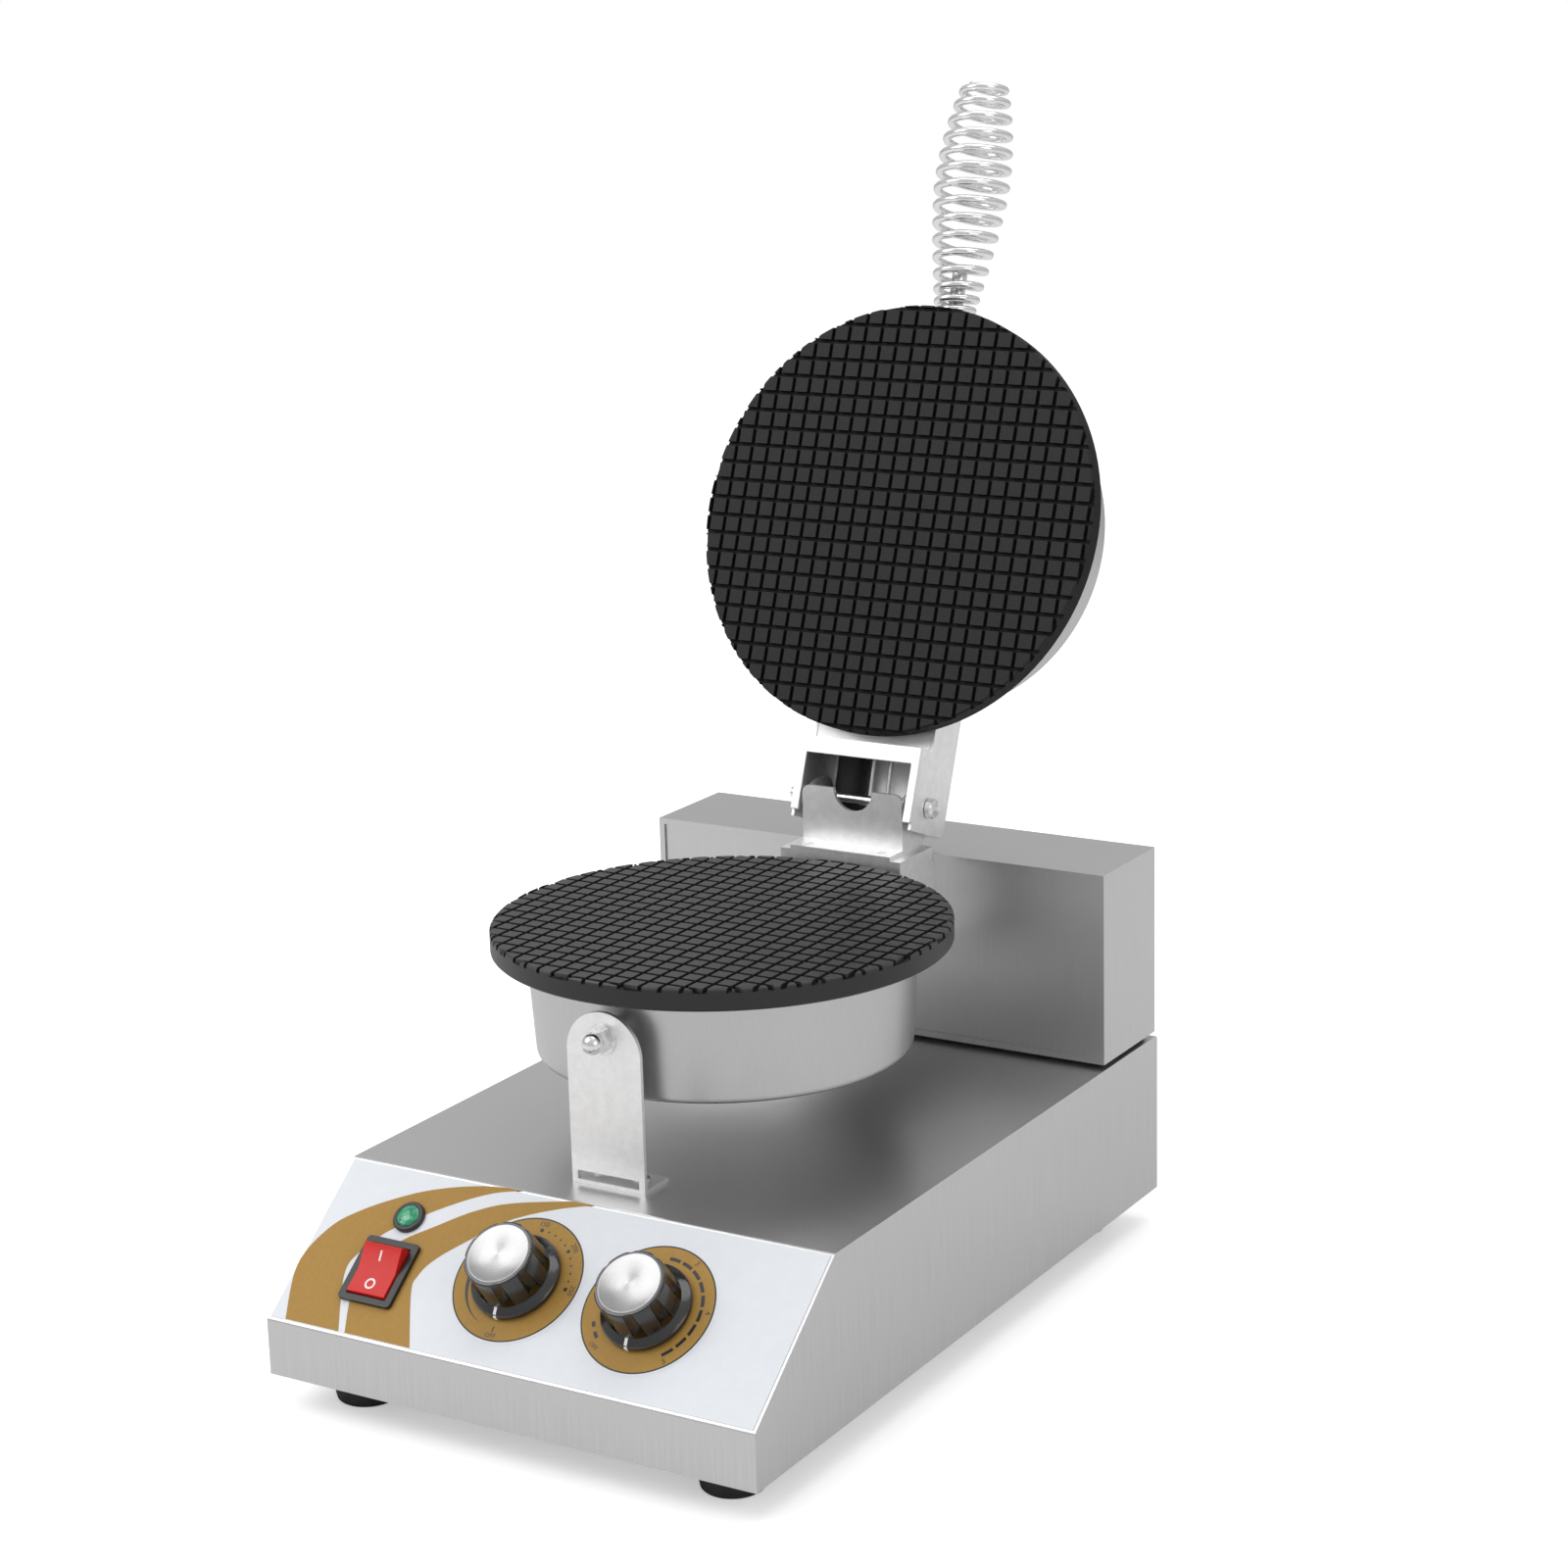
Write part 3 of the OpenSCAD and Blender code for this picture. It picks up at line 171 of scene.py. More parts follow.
def steel(name, tone, rough, grain, strength=0.25, spread_tone=0.04):
    """Sheet steel with its grain along one axis, fine streaks in tone, roughness and height."""
    material, tree, shader = new_material(name)
    scale = tuple(GRAIN_LONG if axis == grain else GRAIN_FINE for axis in "xyz")
    streaks = noise(tree, scale, 1.0, 4.0, 0.6)
    clouds = noise(tree, (9, 9, 9), 1.0, 2.0)
    shader.inputs["Metallic"].default_value = 1.0
    tree.links.new(
        ramp(tree, streaks, [(0.3, grey(tone - spread_tone)), (0.7, grey(tone + spread_tone))]),
        shader.inputs["Base Color"])
    mixed = tree.nodes.new("ShaderNodeMath")
    mixed.operation = "ADD"
    tree.links.new(spread(tree, streaks, -0.06, 0.06), mixed.inputs[0])
    tree.links.new(spread(tree, clouds, rough - 0.04, rough + 0.05), mixed.inputs[1])
    tree.links.new(mixed.outputs[0], shader.inputs["Roughness"])
    bump(tree, shader, streaks, strength, 0.00003)
    return material


def plain_metal(name, tone, rough, speck=350.0):
    """Turned or plated metal with faint wear."""
    material, tree, shader = new_material(name)
    wear = noise(tree, grey(speck), 1.0, 5.0, 0.65)
    shader.inputs["Metallic"].default_value = 1.0
    tree.links.new(ramp(tree, wear, [(0.35, grey(tone - 0.05)), (0.65, grey(tone + 0.03))]),
                   shader.inputs["Base Color"])
    tree.links.new(spread(tree, wear, rough - 0.05, rough + 0.07), shader.inputs["Roughness"])
    bump(tree, shader, wear, 0.08, 0.00004)
    return material


def moulded(name, low, high, rough, size, strength, coat=0.0, shine=0.5):
    """Plastic, rubber or coated metal with a fine moulded or cast surface."""
    material, tree, shader = new_material(name)
    grain = noise(tree, grey(size), 1.0, 4.0, 0.6)
    tree.links.new(ramp(tree, grain, [(0.3, low), (0.72, high)]), shader.inputs["Base Color"])
    tree.links.new(spread(tree, grain, rough - 0.05, rough + 0.08), shader.inputs["Roughness"])
    shader.inputs["Specular IOR Level"].default_value = shine
    shader.inputs["Coat Weight"].default_value = coat
    shader.inputs["Coat Roughness"].default_value = 0.12
    bump(tree, shader, grain, strength, 0.00008)
    return material


def spun_metal():
    """Spun aluminium with fine rings, its highlight stretched round the middle."""
    material, tree, shader = new_material("spun_aluminium")
    source = tree.nodes.new("ShaderNodeTexCoord")
    length = tree.nodes.new("ShaderNodeVectorMath")
    length.operation = "LENGTH"
    tree.links.new(source.outputs["Object"], length.inputs[0])
    rings = node(tree, "ShaderNodeTexNoise", Scale=5200.0, Detail=2.0)
    rings.noise_dimensions = "1D"
    tree.links.new(length.outputs["Value"], rings.inputs["W"])
    shader.inputs["Metallic"].default_value = 1.0
    tree.links.new(ramp(tree, rings.outputs["Fac"], [(0.3, grey(0.34)), (0.7, grey(0.46))]),
                   shader.inputs["Base Color"])
    tree.links.new(spread(tree, rings.outputs["Fac"], 0.22, 0.34), shader.inputs["Roughness"])
    shader.inputs["Anisotropic"].default_value = 0.9
    tangent = tree.nodes.new("ShaderNodeTangent")
    tangent.direction_type = "RADIAL"
    tangent.axis = "Z"
    tree.links.new(tangent.outputs["Tangent"], shader.inputs["Tangent"])
    return material


def cast_plate(name, normal, level, rough, shine):
    """Black cast metal, with painted shade that turns it near black down in the grooves below a face's level.
    """
    material, tree, shader = new_material(name)
    source = tree.nodes.new("ShaderNodeTexCoord")
    height = tree.nodes.new("ShaderNodeVectorMath")
    height.operation = "DOT_PRODUCT"
    height.inputs[1].default_value = normal
    tree.links.new(source.outputs["Object"], height.inputs[0])
    # Painted shade: below the face's level, down in the grooves, the colour fades to near black
    painted_groove_shade = node(tree, "ShaderNodeMapRange", From_Min=level - 0.0017, From_Max=level - 0.0002)
    tree.links.new(height.outputs["Value"], painted_groove_shade.inputs["Value"])
    grain = noise(tree, grey(1500.0), 1.0, 4.0, 0.65)
    cast = ramp(tree, grain, [(0.3, grey(0.013)), (0.72, grey(0.032))])
    mixed = tree.nodes.new("ShaderNodeMix")
    mixed.data_type = "RGBA"
    mixed.inputs[6].default_value = (0.0025, 0.0025, 0.0025, 1)
    tree.links.new(painted_groove_shade.outputs["Result"], mixed.inputs[0])
    tree.links.new(cast, mixed.inputs[7])
    tree.links.new(mixed.outputs[2], shader.inputs["Base Color"])
    tree.links.new(spread(tree, grain, rough - 0.06, rough + 0.08), shader.inputs["Roughness"])
    shader.inputs["Specular IOR Level"].default_value = shine
    bump(tree, shader, grain, 0.45, 0.0001)
    return material


def lamp_green():
    material, tree, shader = new_material("lamp_green")
    cells = tree.nodes.new("ShaderNodeTexVoronoi")
    cells.inputs["Scale"].default_value = 1.0
    tree.links.new(coordinates(tree, grey(520.0)), cells.inputs["Vector"])
    tree.links.new(ramp(tree, cells.outputs["Distance"], [(0.1, (0.02, 0.42, 0.2)), (0.8, (0.0, 0.2, 0.09))]),
                   shader.inputs["Base Color"])
    shader.inputs["Roughness"].default_value = 0.18
    shader.inputs["Coat Weight"].default_value = 0.6
    bump(tree, shader, cells.outputs["Distance"], 0.5, 0.0004)
    return material


MATERIALS = {
    "brushed_steel": steel("brushed_steel", 0.62, 0.34, "z"),
    "satin_steel": steel("satin_steel", 0.60, 0.30, "z", 0.12, 0.02),
    "pan_steel": steel("pan_steel", 0.56, 0.36, "z", 0.1, 0.02),
    "hinge_steel": plain_metal("hinge_steel", 0.93, 0.46, 220.0),
    "bright_fasteners": plain_metal("bright_fasteners", 0.80, 0.22),
    "spring_chrome": plain_metal("spring_chrome", 0.86, 0.14, 500.0),
    "cast_plate_black": cast_plate("cast_plate_black", (0, 0, 1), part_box("lower_plate")[1][2], 0.42, 0.6),
    "cast_lid_black": cast_plate(
        "cast_lid_black", LID_FACE_NORMAL, LID_FACE_NORMAL.dot(lid(LID_FACE_POINT)), 0.62, 0.22),
    "rubber_black": moulded("rubber_black", grey(0.012), grey(0.028), 0.62, 1500.0, 0.25),
    "heater_steel": plain_metal("heater_steel", 0.30, 0.5),
    "insulation_board": moulded("insulation_board", (0.62, 0.58, 0.5), (0.78, 0.74, 0.66), 0.85, 700.0, 0.5),
    "label_film": moulded("label_film", (0.69, 0.712, 0.75), (0.72, 0.742, 0.782), 0.42, 160.0, 0.02, 0.1),
    "switch_black": moulded("switch_black", grey(0.012), grey(0.022), 0.34, 1700.0, 0.12),
    "rocker_red": moulded("rocker_red", (0.55, 0.012, 0.01), (0.66, 0.02, 0.015), 0.34, 900.0, 0.04, 0.1, 0.2),
    "lamp_green": lamp_green(),
    "knob_black": moulded("knob_black", grey(0.006), grey(0.014), 0.20, 1200.0, 0.05, 0.6),
    "spun_aluminium": spun_metal(),
    "switch_body": moulded("switch_body", grey(0.05), grey(0.09), 0.5, 900.0, 0.1),
    "copper_tube": plain_metal("copper_tube", 0.72, 0.3),
    "gold_print": moulded("gold_print", (0.375, 0.215, 0.05), (0.405, 0.24, 0.062), 0.5, 500.0, 0.02, 0.0, 0.2),
    "black_print": moulded("black_print", grey(0.01), grey(0.02), 0.4, 500.0, 0.02),
    "white_print": moulded("white_print", grey(0.78), grey(0.84), 0.4, 500.0, 0.02),
}
# Pieces whose look differs from the rest of their slot
OWN_LOOK = {
    "hinge_arm": "hinge_steel", "lower_hinge_bracket": "hinge_steel", "upper_hinge_bracket": "hinge_steel",
    "hinge_frame_plate": "hinge_steel", "front_bracket": "hinge_steel", "upper_plate": "cast_lid_black",
}


# Pieces

def piece(name, mesh, material, body, replaced=()):
    made = bpy.data.objects.new(name, mesh)
    bpy.context.scene.collection.objects.link(made)
    mesh.materials.clear()
    mesh.materials.append(MATERIALS[material])
    if body:
        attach(made, body)
    if replaced:
        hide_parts(*replaced)
    return made


def from_lists(name, points, faces, smooth=False):
    mesh = bpy.data.meshes.new(name)
    mesh.from_pydata([tuple(p) for p in points], [], faces)
    mesh.update()
    if smooth:
        mesh.shade_smooth()
    return mesh


def apply_modifiers(made):
    """Makes a piece's modifiers part of its mesh."""
    graph = bpy.context.evaluated_depsgraph_get()
    mesh = bpy.data.meshes.new_from_object(made.evaluated_get(graph))
    made.modifiers.clear()
    made.data = mesh


EDGE_SEGMENTS = 2
EDGE_ANGLE = math.radians(28.0)
SHARP_ANGLE = math.radians(32.0)


def softened(node_name, width, material=None):
    """A copy of a CAD node with its sharp edges rounded, which stands for it."""
    source = frame["nodes"][node_name]
    mesh = source.data.copy()
    work = bmesh.new()
    work.from_mesh(mesh)
    bmesh.ops.remove_doubles(work, verts=work.verts, dist=1e-6)
    bmesh.ops.dissolve_limit(
        work, angle_limit=math.radians(0.6), verts=work.verts, edges=work.edges, delimit=set())
    work.to_mesh(mesh)
    work.free()
    slot = SLOT_OF[node_name]
    made = piece(node_name + "_finish", mesh, material or slot, BODY_OF[node_name], (node_name,))
    bevel = made.modifiers.new("edges", "BEVEL")
    bevel.width = width * MM
    bevel.segments = EDGE_SEGMENTS
    bevel.limit_method = "ANGLE"
    bevel.angle_limit = EDGE_ANGLE
    apply_modifiers(made)
    shade(made.data, SHARP_ANGLE)
    flat = made.modifiers.new("flat_faces", "WEIGHTED_NORMAL")
    flat.keep_sharp = True
    flat.weight = 100
    apply_modifiers(made)


def shade(mesh, limit):
    """Smooth shading, with edges kept sharp above an angle."""
    mesh.shade_smooth()
    work = bmesh.new()
    work.from_mesh(mesh)
    for edge in work.edges:
        if len(edge.link_faces) == 2:
            edge.smooth = edge.calc_face_angle(0.0) < limit
    work.to_mesh(mesh)
    work.free()


def swept(name, path, sides_at, radius, sides):
    """A round tube along a path, with a side direction at each point and closed ends."""
    points = []
    for i, at in enumerate(path):
        ahead = (path[min(i + 1, len(path) - 1)] - path[max(i - 1, 0)]).normalized()
        second = ahead.cross(sides_at[i]).normalized()
        first = second.cross(ahead)
        for k in range(sides):
            turn = 2 * math.pi * k / sides
            points.append(at + radius * (first * math.cos(turn) + second * math.sin(turn)))
    faces = []
    for i in range(len(path) - 1):
        for k in range(sides):
            a, b = i * sides + k, i * sides + (k + 1) % sides
            faces.append((a, b, b + sides, a + sides))
    faces.append(tuple(range(sides))[::-1])
    faces.append(tuple(range((len(path) - 1) * sides, len(path) * sides)))
    return from_lists(name, points, faces, smooth=True)


# Handle spring, in millimetres, from the same rule as the solid
WIRE = 4.0
NECK, GRIP, TIP = 16.0, 37.5, 22.5
TURNS, NECK_TURNS, RAMP_TURNS, TIP_TURNS = 18.4, 3.5, 4.0, 2.5
NECK_PITCH, GRIP_PITCH, TIP_PITCH = 4.8, 8.4, 5.6
SPRING_START = 3.154
SPRING_STEPS = 30
HANDLE_DROOP = math.radians(2.7)


def smooth(t):
    """A rise from 0 to 1 with level ends."""
    t = max(0.0, min(1.0, t))
    return (3 - 2 * t) * t * t


def spring_pitch(turns):
    opening = (GRIP_PITCH - NECK_PITCH) * smooth((turns - NECK_TURNS) / RAMP_TURNS)
    closing = (GRIP_PITCH - TIP_PITCH) * smooth((turns - TURNS + TIP_TURNS) / TIP_TURNS)
    return NECK_PITCH + opening - closing


def spring_places():
    """Distance along the handle at each step of the wire."""
    places = [SPRING_START]
    for i in range(int(TURNS * SPRING_STEPS)):
        places.append(places[-1] + spring_pitch((i + 0.5) / SPRING_STEPS) / SPRING_STEPS)
    return places


def spring_radius(along, tip_at):
    """Radius to the middle of the wire at a distance along the handle."""
    cone_at = SPRING_START + NECK / 3
    wide_at = cone_at + (tip_at - cone_at) * 0.58
    t = max(0.0, min(1.0, (along - cone_at) / (wide_at - cone_at)))
    e = max(0.0, (along - wide_at) / (tip_at - wide_at))
    return (NECK + (GRIP - NECK) * t * (1.25 - t * t / 4) - (GRIP - TIP) * e ** 2.2) / 2 - WIRE / 2


def handle_origin():
    """Where the handle leaves the closed lid pan, from the pan's box and taper."""
    centre_y = HINGE.y / MM - PLATE_BEHIND - PLATE_R
    radius = PAN_RIM_R + (PAN_END_R - PAN_RIM_R) * HANDLE_RISE / PAN_H
    pan_low = HINGE.z / MM - PLATES_MEET + PLATE_GAP + PLATE_T
    return Vector((0, centre_y - radius, pan_low + HANDLE_RISE))


def build_spring():
    origin = handle_origin()
    along = Vector((0, -math.cos(HANDLE_DROOP), -math.sin(HANDLE_DROOP)))
    up = Vector((0, -math.sin(HANDLE_DROOP), math.cos(HANDLE_DROOP)))
    side = Vector((1, 0, 0))
    places = spring_places()
    path, sides_at = [], []
    for i, z in enumerate(places):
        turn = 2 * math.pi * i / SPRING_STEPS
        out = side * math.cos(turn) + up * math.sin(turn)
        path.append(origin + along * z + out * spring_radius(z, places[-1]))
        sides_at.append(out)
    path.insert(0, path[0] - (path[1] - path[0]).normalized() * WIRE)
    sides_at.insert(0, sides_at[0])
    path.append(path[-1] + (path[-1] - path[-2]).normalized() * WIRE)
    sides_at.append(sides_at[-1])
    spin = Matrix.Rotation(-LID_OPEN, 3, "X")
    world = [lid(p * MM) for p in path]
    mesh = swept("handle_spring_wire", world, [spin @ s for s in sides_at], WIRE / 2 * MM, 14)
    piece("handle_spring_wire", mesh, "spring_chrome", "lid", ("handle_spring",))


# Label print

PRINT_OUT = 0.34
PRINT_STEP = 0.04
STRIPE_LAYER, HALO_LAYER, LINE_LAYER, DISC_LAYER, MARK_LAYER = range(5)


def strip_print(name, left, right, material, layer):
    """A band of print between two matching edges."""
    out = PRINT_OUT + layer * PRINT_STEP
    points = [on_panel(x, up, out) for x, up in left + right]
    count = len(left)
    faces = [(i, i + 1, count + i + 1, count + i) for i in range(count - 1)]
    return piece(name, from_lists(name, points, faces), material, "root")


def ring_print(name, centre, inner, outer, material, layer, start=0.0, end=360.0, inner_end=None, steps=96):
    """A ring or arc of print. Angles run clockwise from 12 o'clock, in degrees."""
    out = PRINT_OUT + layer * PRINT_STEP
    inner_end = inner if inner_end is None else inner_end
    points, faces = [], []
    for i in range(steps + 1):
        share = i / steps
        turn = math.radians(start + (end - start) * share)
        low = inner + (inner_end - inner) * share
        for r in (low, outer):
            points.append(on_panel(centre[0] + r * math.sin(turn), centre[1] + r * math.cos(turn), out))
    for i in range(steps):
        faces.append((2 * i, 2 * i + 1, 2 * i + 3, 2 * i + 2))
    return piece(name, from_lists(name, points, faces), material, "root")


def around(centre, turn, r):
    """A point at a clockwise angle from 12 o'clock, in degrees, and a distance from a centre."""
    a = math.radians(turn)
    return (centre[0] + r * math.sin(a), centre[1] + r * math.cos(a))


def dot_outline(centre, turn, r, size):
    """A round dot on a dial, as an outline."""
    at = around(centre, turn, r)
    return [(at[0] + size * math.cos(a), at[1] + size * math.sin(a))
            for a in (2 * math.pi * k / 14 for k in range(14))]


def many_prints(name, outlines, material, layer):
    """Several small patches of print joined in one piece."""
    out = PRINT_OUT + layer * PRINT_STEP
    points, faces = [], []
    for outline in outlines:
        start = len(points)
        points += [on_panel(x, up, out) for x, up in outline]
        faces.append(tuple(range(start, len(points))))
    return piece(name, from_lists(name, points, faces), material, "root")


def bar(centre, turn, inner, outer, width):
    """A short bar along a radius of a dial, as an outline."""
    a = math.radians(turn)
    along, side = (math.sin(a), math.cos(a)), (math.cos(a), -math.sin(a))
    return [(centre[0] + along[0] * r + side[0] * w, centre[1] + along[1] * r + side[1] * w)
            for r, w in ((inner, -width / 2), (inner, width / 2), (outer, width / 2), (outer, -width / 2))]


def panel_text(name, words, at, size, turn, material, layer):
    """Plain numbers or OFF on the panel, centred at a point and turned clockwise."""
    curve = bpy.data.curves.new(name, "FONT")
    curve.body = words
    curve.size = size * MM
    curve.align_x = "CENTER"
    curve.align_y = "CENTER"
    curve.resolution_u = 3
    made = bpy.data.objects.new(name, curve)
    bpy.context.scene.collection.objects.link(made)
    graph = bpy.context.evaluated_depsgraph_get()
    mesh = bpy.data.meshes.new_from_object(made.evaluated_get(graph))
    bpy.data.objects.remove(made)
    out = PRINT_OUT + layer * PRINT_STEP
    origin = on_panel(at[0], at[1], out)
    axes = Matrix((Vector((1, 0, 0)), PANEL_UP, PANEL_NORMAL)).transposed()
    spin = Matrix.Rotation(-math.radians(turn), 3, "Z")
    for vertex in mesh.vertices:
        vertex.co = origin + axes @ (spin @ vertex.co)
    return piece(name, mesh, material, "root")


def smooth_edge(points, steps=10):
    """A smooth line through given points."""
    line = []
    for i in range(len(points) - 1):
        a, b = Vector(points[max(i - 1, 0)]), Vector(points[i])
        c, d = Vector(points[i + 1]), Vector(points[min(i + 2, len(points) - 1)])
        for k in range(steps):
            t = k / steps
            line.append(tuple(0.5 * ((2 * b) + (c - a) * t + (2 * a - 5 * b + 4 * c - d) * t * t
                                     + (3 * b - a - 3 * c + d) * t ** 3)))
    line.append(tuple(points[-1]))
    return line


# Edges of the two gold stripes, across the panel and up its slope
STRIPE_EDGES = [
    [(-115.5, 1.7), (-124, 28), (-118, 48), (-106, 60), (-88, 71), (-73, 77.5), (-55, 82.5), (-40, 84.6)],
    [(-86.3, 1.7), (-98, 28), (-96.3, 40), (-88, 52), (-73, 64.2), (-58, 74.2), (-45, 80.8), (-32, 84.6)],
    [(-83, 1.7), (-90, 22), (-88, 38), (-78, 50), (-66, 59.2), (-51, 70), (-34.7, 77.5), (-6, 84.4)],
    [(-48, 1.7), (-61, 27), (-61.7, 35), (-58, 43.3), (-48, 54.2), (-30, 70), (-11, 79.2), (6, 84.6)],
]
TEMP_CENTRE = (TEMP_AT.x / MM, TEMP_UP / MM)
TIMER_CENTRE = (TIMER_AT.x / MM, (TIMER_AT - PANEL_ORIGIN).dot(PANEL_UP) / MM)
DIAL_R, DIAL_HOLE, DIAL_HALO, DIAL_LINE = 30.5, 0.5, 1.1, 0.7
DOTS_R, BIG_DOT, SMALL_DOT = 24.6, 0.95, 0.5
DASH_IN, DASH_OUT, DASH_STEP, DASH_LENGTH = 23.7, 25.3, 16.2, 12.8


def build_label():
    edges = [smooth_edge(e) for e in STRIPE_EDGES]
    strip_print("stripe_left", edges[0], edges[1], "gold_print", STRIPE_LAYER)
    strip_print("stripe_right", edges[2], edges[3], "gold_print", STRIPE_LAYER)
    for name, centre in (("temperature", TEMP_CENTRE), ("timer", TIMER_CENTRE)):
        ring_print(name + "_halo", centre, DIAL_HOLE, DIAL_R + DIAL_HALO, "label_film", HALO_LAYER)
        ring_print(name + "_line", centre, DIAL_HOLE, DIAL_R, "black_print", LINE_LAYER)
        ring_print(name + "_disc", centre, DIAL_HOLE, DIAL_R - DIAL_LINE, "gold_print", DISC_LAYER)
    print_temperature(TEMP_CENTRE)
    print_timer(TIMER_CENTRE)


def print_temperature(at):
    """Large dots at the numbers, small dots between, a wedge below them and a tick at OFF."""
    marks = [dot_outline(at, turn, DOTS_R, BIG_DOT) for turn in (0, 45, 90)]
    marks += [dot_outline(at, turn, DOTS_R, SMALL_DOT) for turn in (9, 18, 27, 36, 54, 63, 72, 81)]
    marks.append(bar(at, 180, 23.6, 26.2, 0.6))
    many_prints("temperature_dots", marks, "black_print", MARK_LAYER)
    ring_print("temperature_wedge", at, 24.4, 24.5, "black_print", MARK_LAYER, 200, 262, 22.6)
    for words, turn in (("150", 0), ("200", 45), ("250", 90)):
        panel_text("temperature_" + words, words, around(at, turn, 27.6), 3.4, turn, "black_print", MARK_LAYER)
    panel_text("temperature_off", "OFF", (at[0], at[1] - 27.9), 3.0, 0, "black_print", MARK_LAYER)


def print_timer(at):
    """Long dashes past the numbers and two short ones beside OFF."""
    starts = [-2 + k * DASH_STEP for k in range(9)]
    dashes = [arc_outline(at, DASH_IN, DASH_OUT, start, start + DASH_LENGTH) for start in starts]
    many_prints("timer_dashes", dashes, "black_print", MARK_LAYER)
    for words, turn in (("3", 27), ("4", 82), ("5", 140)):
        upright = turn if turn < 90 else turn - 180
        panel_text("timer_" + words, words, around(at, turn, 27.8), 3.6, upright, "black_print", MARK_LAYER)
    ticks = [arc_outline(at, DASH_IN, DASH_OUT, start, end) for start, end in ((224, 232), (238, 244))]
    many_prints("timer_ticks", ticks, "black_print", MARK_LAYER)
    panel_text("timer_off", "OFF", around(at, 218, 27.4), 3.0, 30, "black_print", MARK_LAYER)


def arc_outline(centre, inner, outer, start, end, steps=6):
    """A curved dash as an outline. Angles run clockwise from 12 o'clock, in degrees."""
    turns = [math.radians(start + (end - start) * i / steps) for i in range(steps + 1)]
    inside = [(centre[0] + inner * math.sin(a), centre[1] + inner * math.cos(a)) for a in turns]
    outside = [(centre[0] + outer * math.sin(a), centre[1] + outer * math.cos(a)) for a in reversed(turns)]
    return inside + outside


# Knobs

KNOB_H = 22.0
CAP_R = 14.3
CAP_SUNK = 0.2


def build_cap(name, centre, body, replaced):
    """The spun cap, a shallow dished disc in the knob's own axes."""
    profile = [(0, 0.05), (CAP_R * 0.3, 0.03), (CAP_R - 1.0, 0.02), (CAP_R - 0.5, 0.12),
               (CAP_R - 0.15, 0.1), (CAP_R, -0.15), (CAP_R, -0.9)]
    steps = 96
    points = [Vector((0, 0, profile[0][1] * MM))]
    for r, z in profile[1:]:
        for k in range(steps):
            turn = 2 * math.pi * k / steps
            points.append(Vector((r * math.cos(turn) * MM, r * math.sin(turn) * MM, z * MM)))
    faces = [(0, 1 + k, 1 + (k + 1) % steps) for k in range(steps)]
    for ring in range(len(profile) - 2):
        low = 1 + ring * steps
        for k in range(steps):
            faces.append((low + k, low + steps + k, low + steps + (k + 1) % steps, low + (k + 1) % steps))
    last = 1 + (len(profile) - 2) * steps
    faces.append(tuple(range(last, last + steps))[::-1])
    mesh = from_lists(name, points, faces, smooth=True)
    made = piece(name, mesh, "spun_aluminium", body, replaced)
    axes = Matrix((Vector((1, 0, 0)), PANEL_UP, PANEL_NORMAL)).transposed().to_4x4()
    made.matrix_world = Matrix.Translation(on_panel(centre[0], centre[1], KNOB_H - CAP_SUNK)) @ axes


def build_pointer(name, centre, body):
    """White marks on the knob's skirt and on the front of its grip, as distance out and height."""
    grip = [(13.6, KNOB_H - 0.5), (15.3, KNOB_H - 0.5), (15.9, KNOB_H - 1.1),
            (15.95, KNOB_H - 4.4), (15.0, KNOB_H - 4.4)]
    skirt = [(16.2, 6.2), (19.6, 4.55), (20.0, 3.9), (20.75, 3.3), (20.75, 1.6), (19.5, 1.6)]
    points, faces = [], []
    half = 0.7
    for mark in (grip, skirt):
        start = len(points)
        for side in (-half, half):
            for out, height in mark:
                points.append(on_panel(centre[0] + side, centre[1] - out, height))
        count = len(mark)
        faces.append(tuple(range(start, start + count)))
        faces.append(tuple(range(start + count, start + 2 * count))[::-1])
        for i in range(count):
            j = (i + 1) % count
            faces.append((start + i, start + count + i, start + count + j, start + j))
    piece(name, from_lists(name, points, faces), "white_print", body)


def rocker_marks():
    """The white I and O on the rocker, raised from its two faces."""
    pivot = Vector(JOINTS["power_switch"]["pos_m"])
    tilt = math.radians(11.0)
    crown = 3.2
    raised = 0.06

    def on_rocker(x, y):
        slope = crown + abs(y) * math.tan(tilt) + raised
        p = Matrix.Rotation(tilt, 3, "X") @ Vector((x, y, slope))
        return pivot + Vector((p.x * MM, 0, 0)) + PANEL_UP * p.y * MM + PANEL_NORMAL * p.z * MM

    half, low, high = 0.45, 4.2, 8.8
    points = [on_rocker(x, y) for x, y in ((-half, low), (half, low), (half, high), (-half, high))]
    piece("rocker_on_mark", from_lists("rocker_on_mark", points, [(0, 1, 2, 3)]), "white_print",
          BODY_OF["switch_rocker"])
    ring_in, ring_out, ring_y = 1.7, 2.6, -6.4
    points, faces = [], []
    steps = 40
    for k in range(steps):
        a = 2 * math.pi * k / steps
        for r in (ring_in, ring_out):
            points.append(on_rocker(r * math.cos(a), ring_y + r * math.sin(a)))
    for k in range(steps):
        j = (k + 1) % steps
        faces.append((2 * k, 2 * k + 1, 2 * j + 1, 2 * j))
    piece("rocker_off_mark", from_lists("rocker_off_mark", points, faces), "white_print",
          BODY_OF["switch_rocker"])


# Cable sleeve and lines behind the hinge, as millimetres back and up from its axis
SLEEVE_ROUTE = [(-0.8, -22.4), (-0.8, -19), (1.8, -13), (6.2, -8.6), (9.6, -3.4), (12.8, 5),
                (16.6, 18), (20.2, 30), (23, 41), (24.6, 47)]
LINE_ROUTE = [(-1.6, -23), (-1.6, -20), (1.2, -11), (6, -5), (9, 2), (12, 12), (16, 24), (20.5, 38), (23.4, 46)]
SLEEVE_X, SENSOR_X, EARTH_X = -17.5, -4, 5.5
SLEEVE_R, LINE_R = 7.0, 1.1


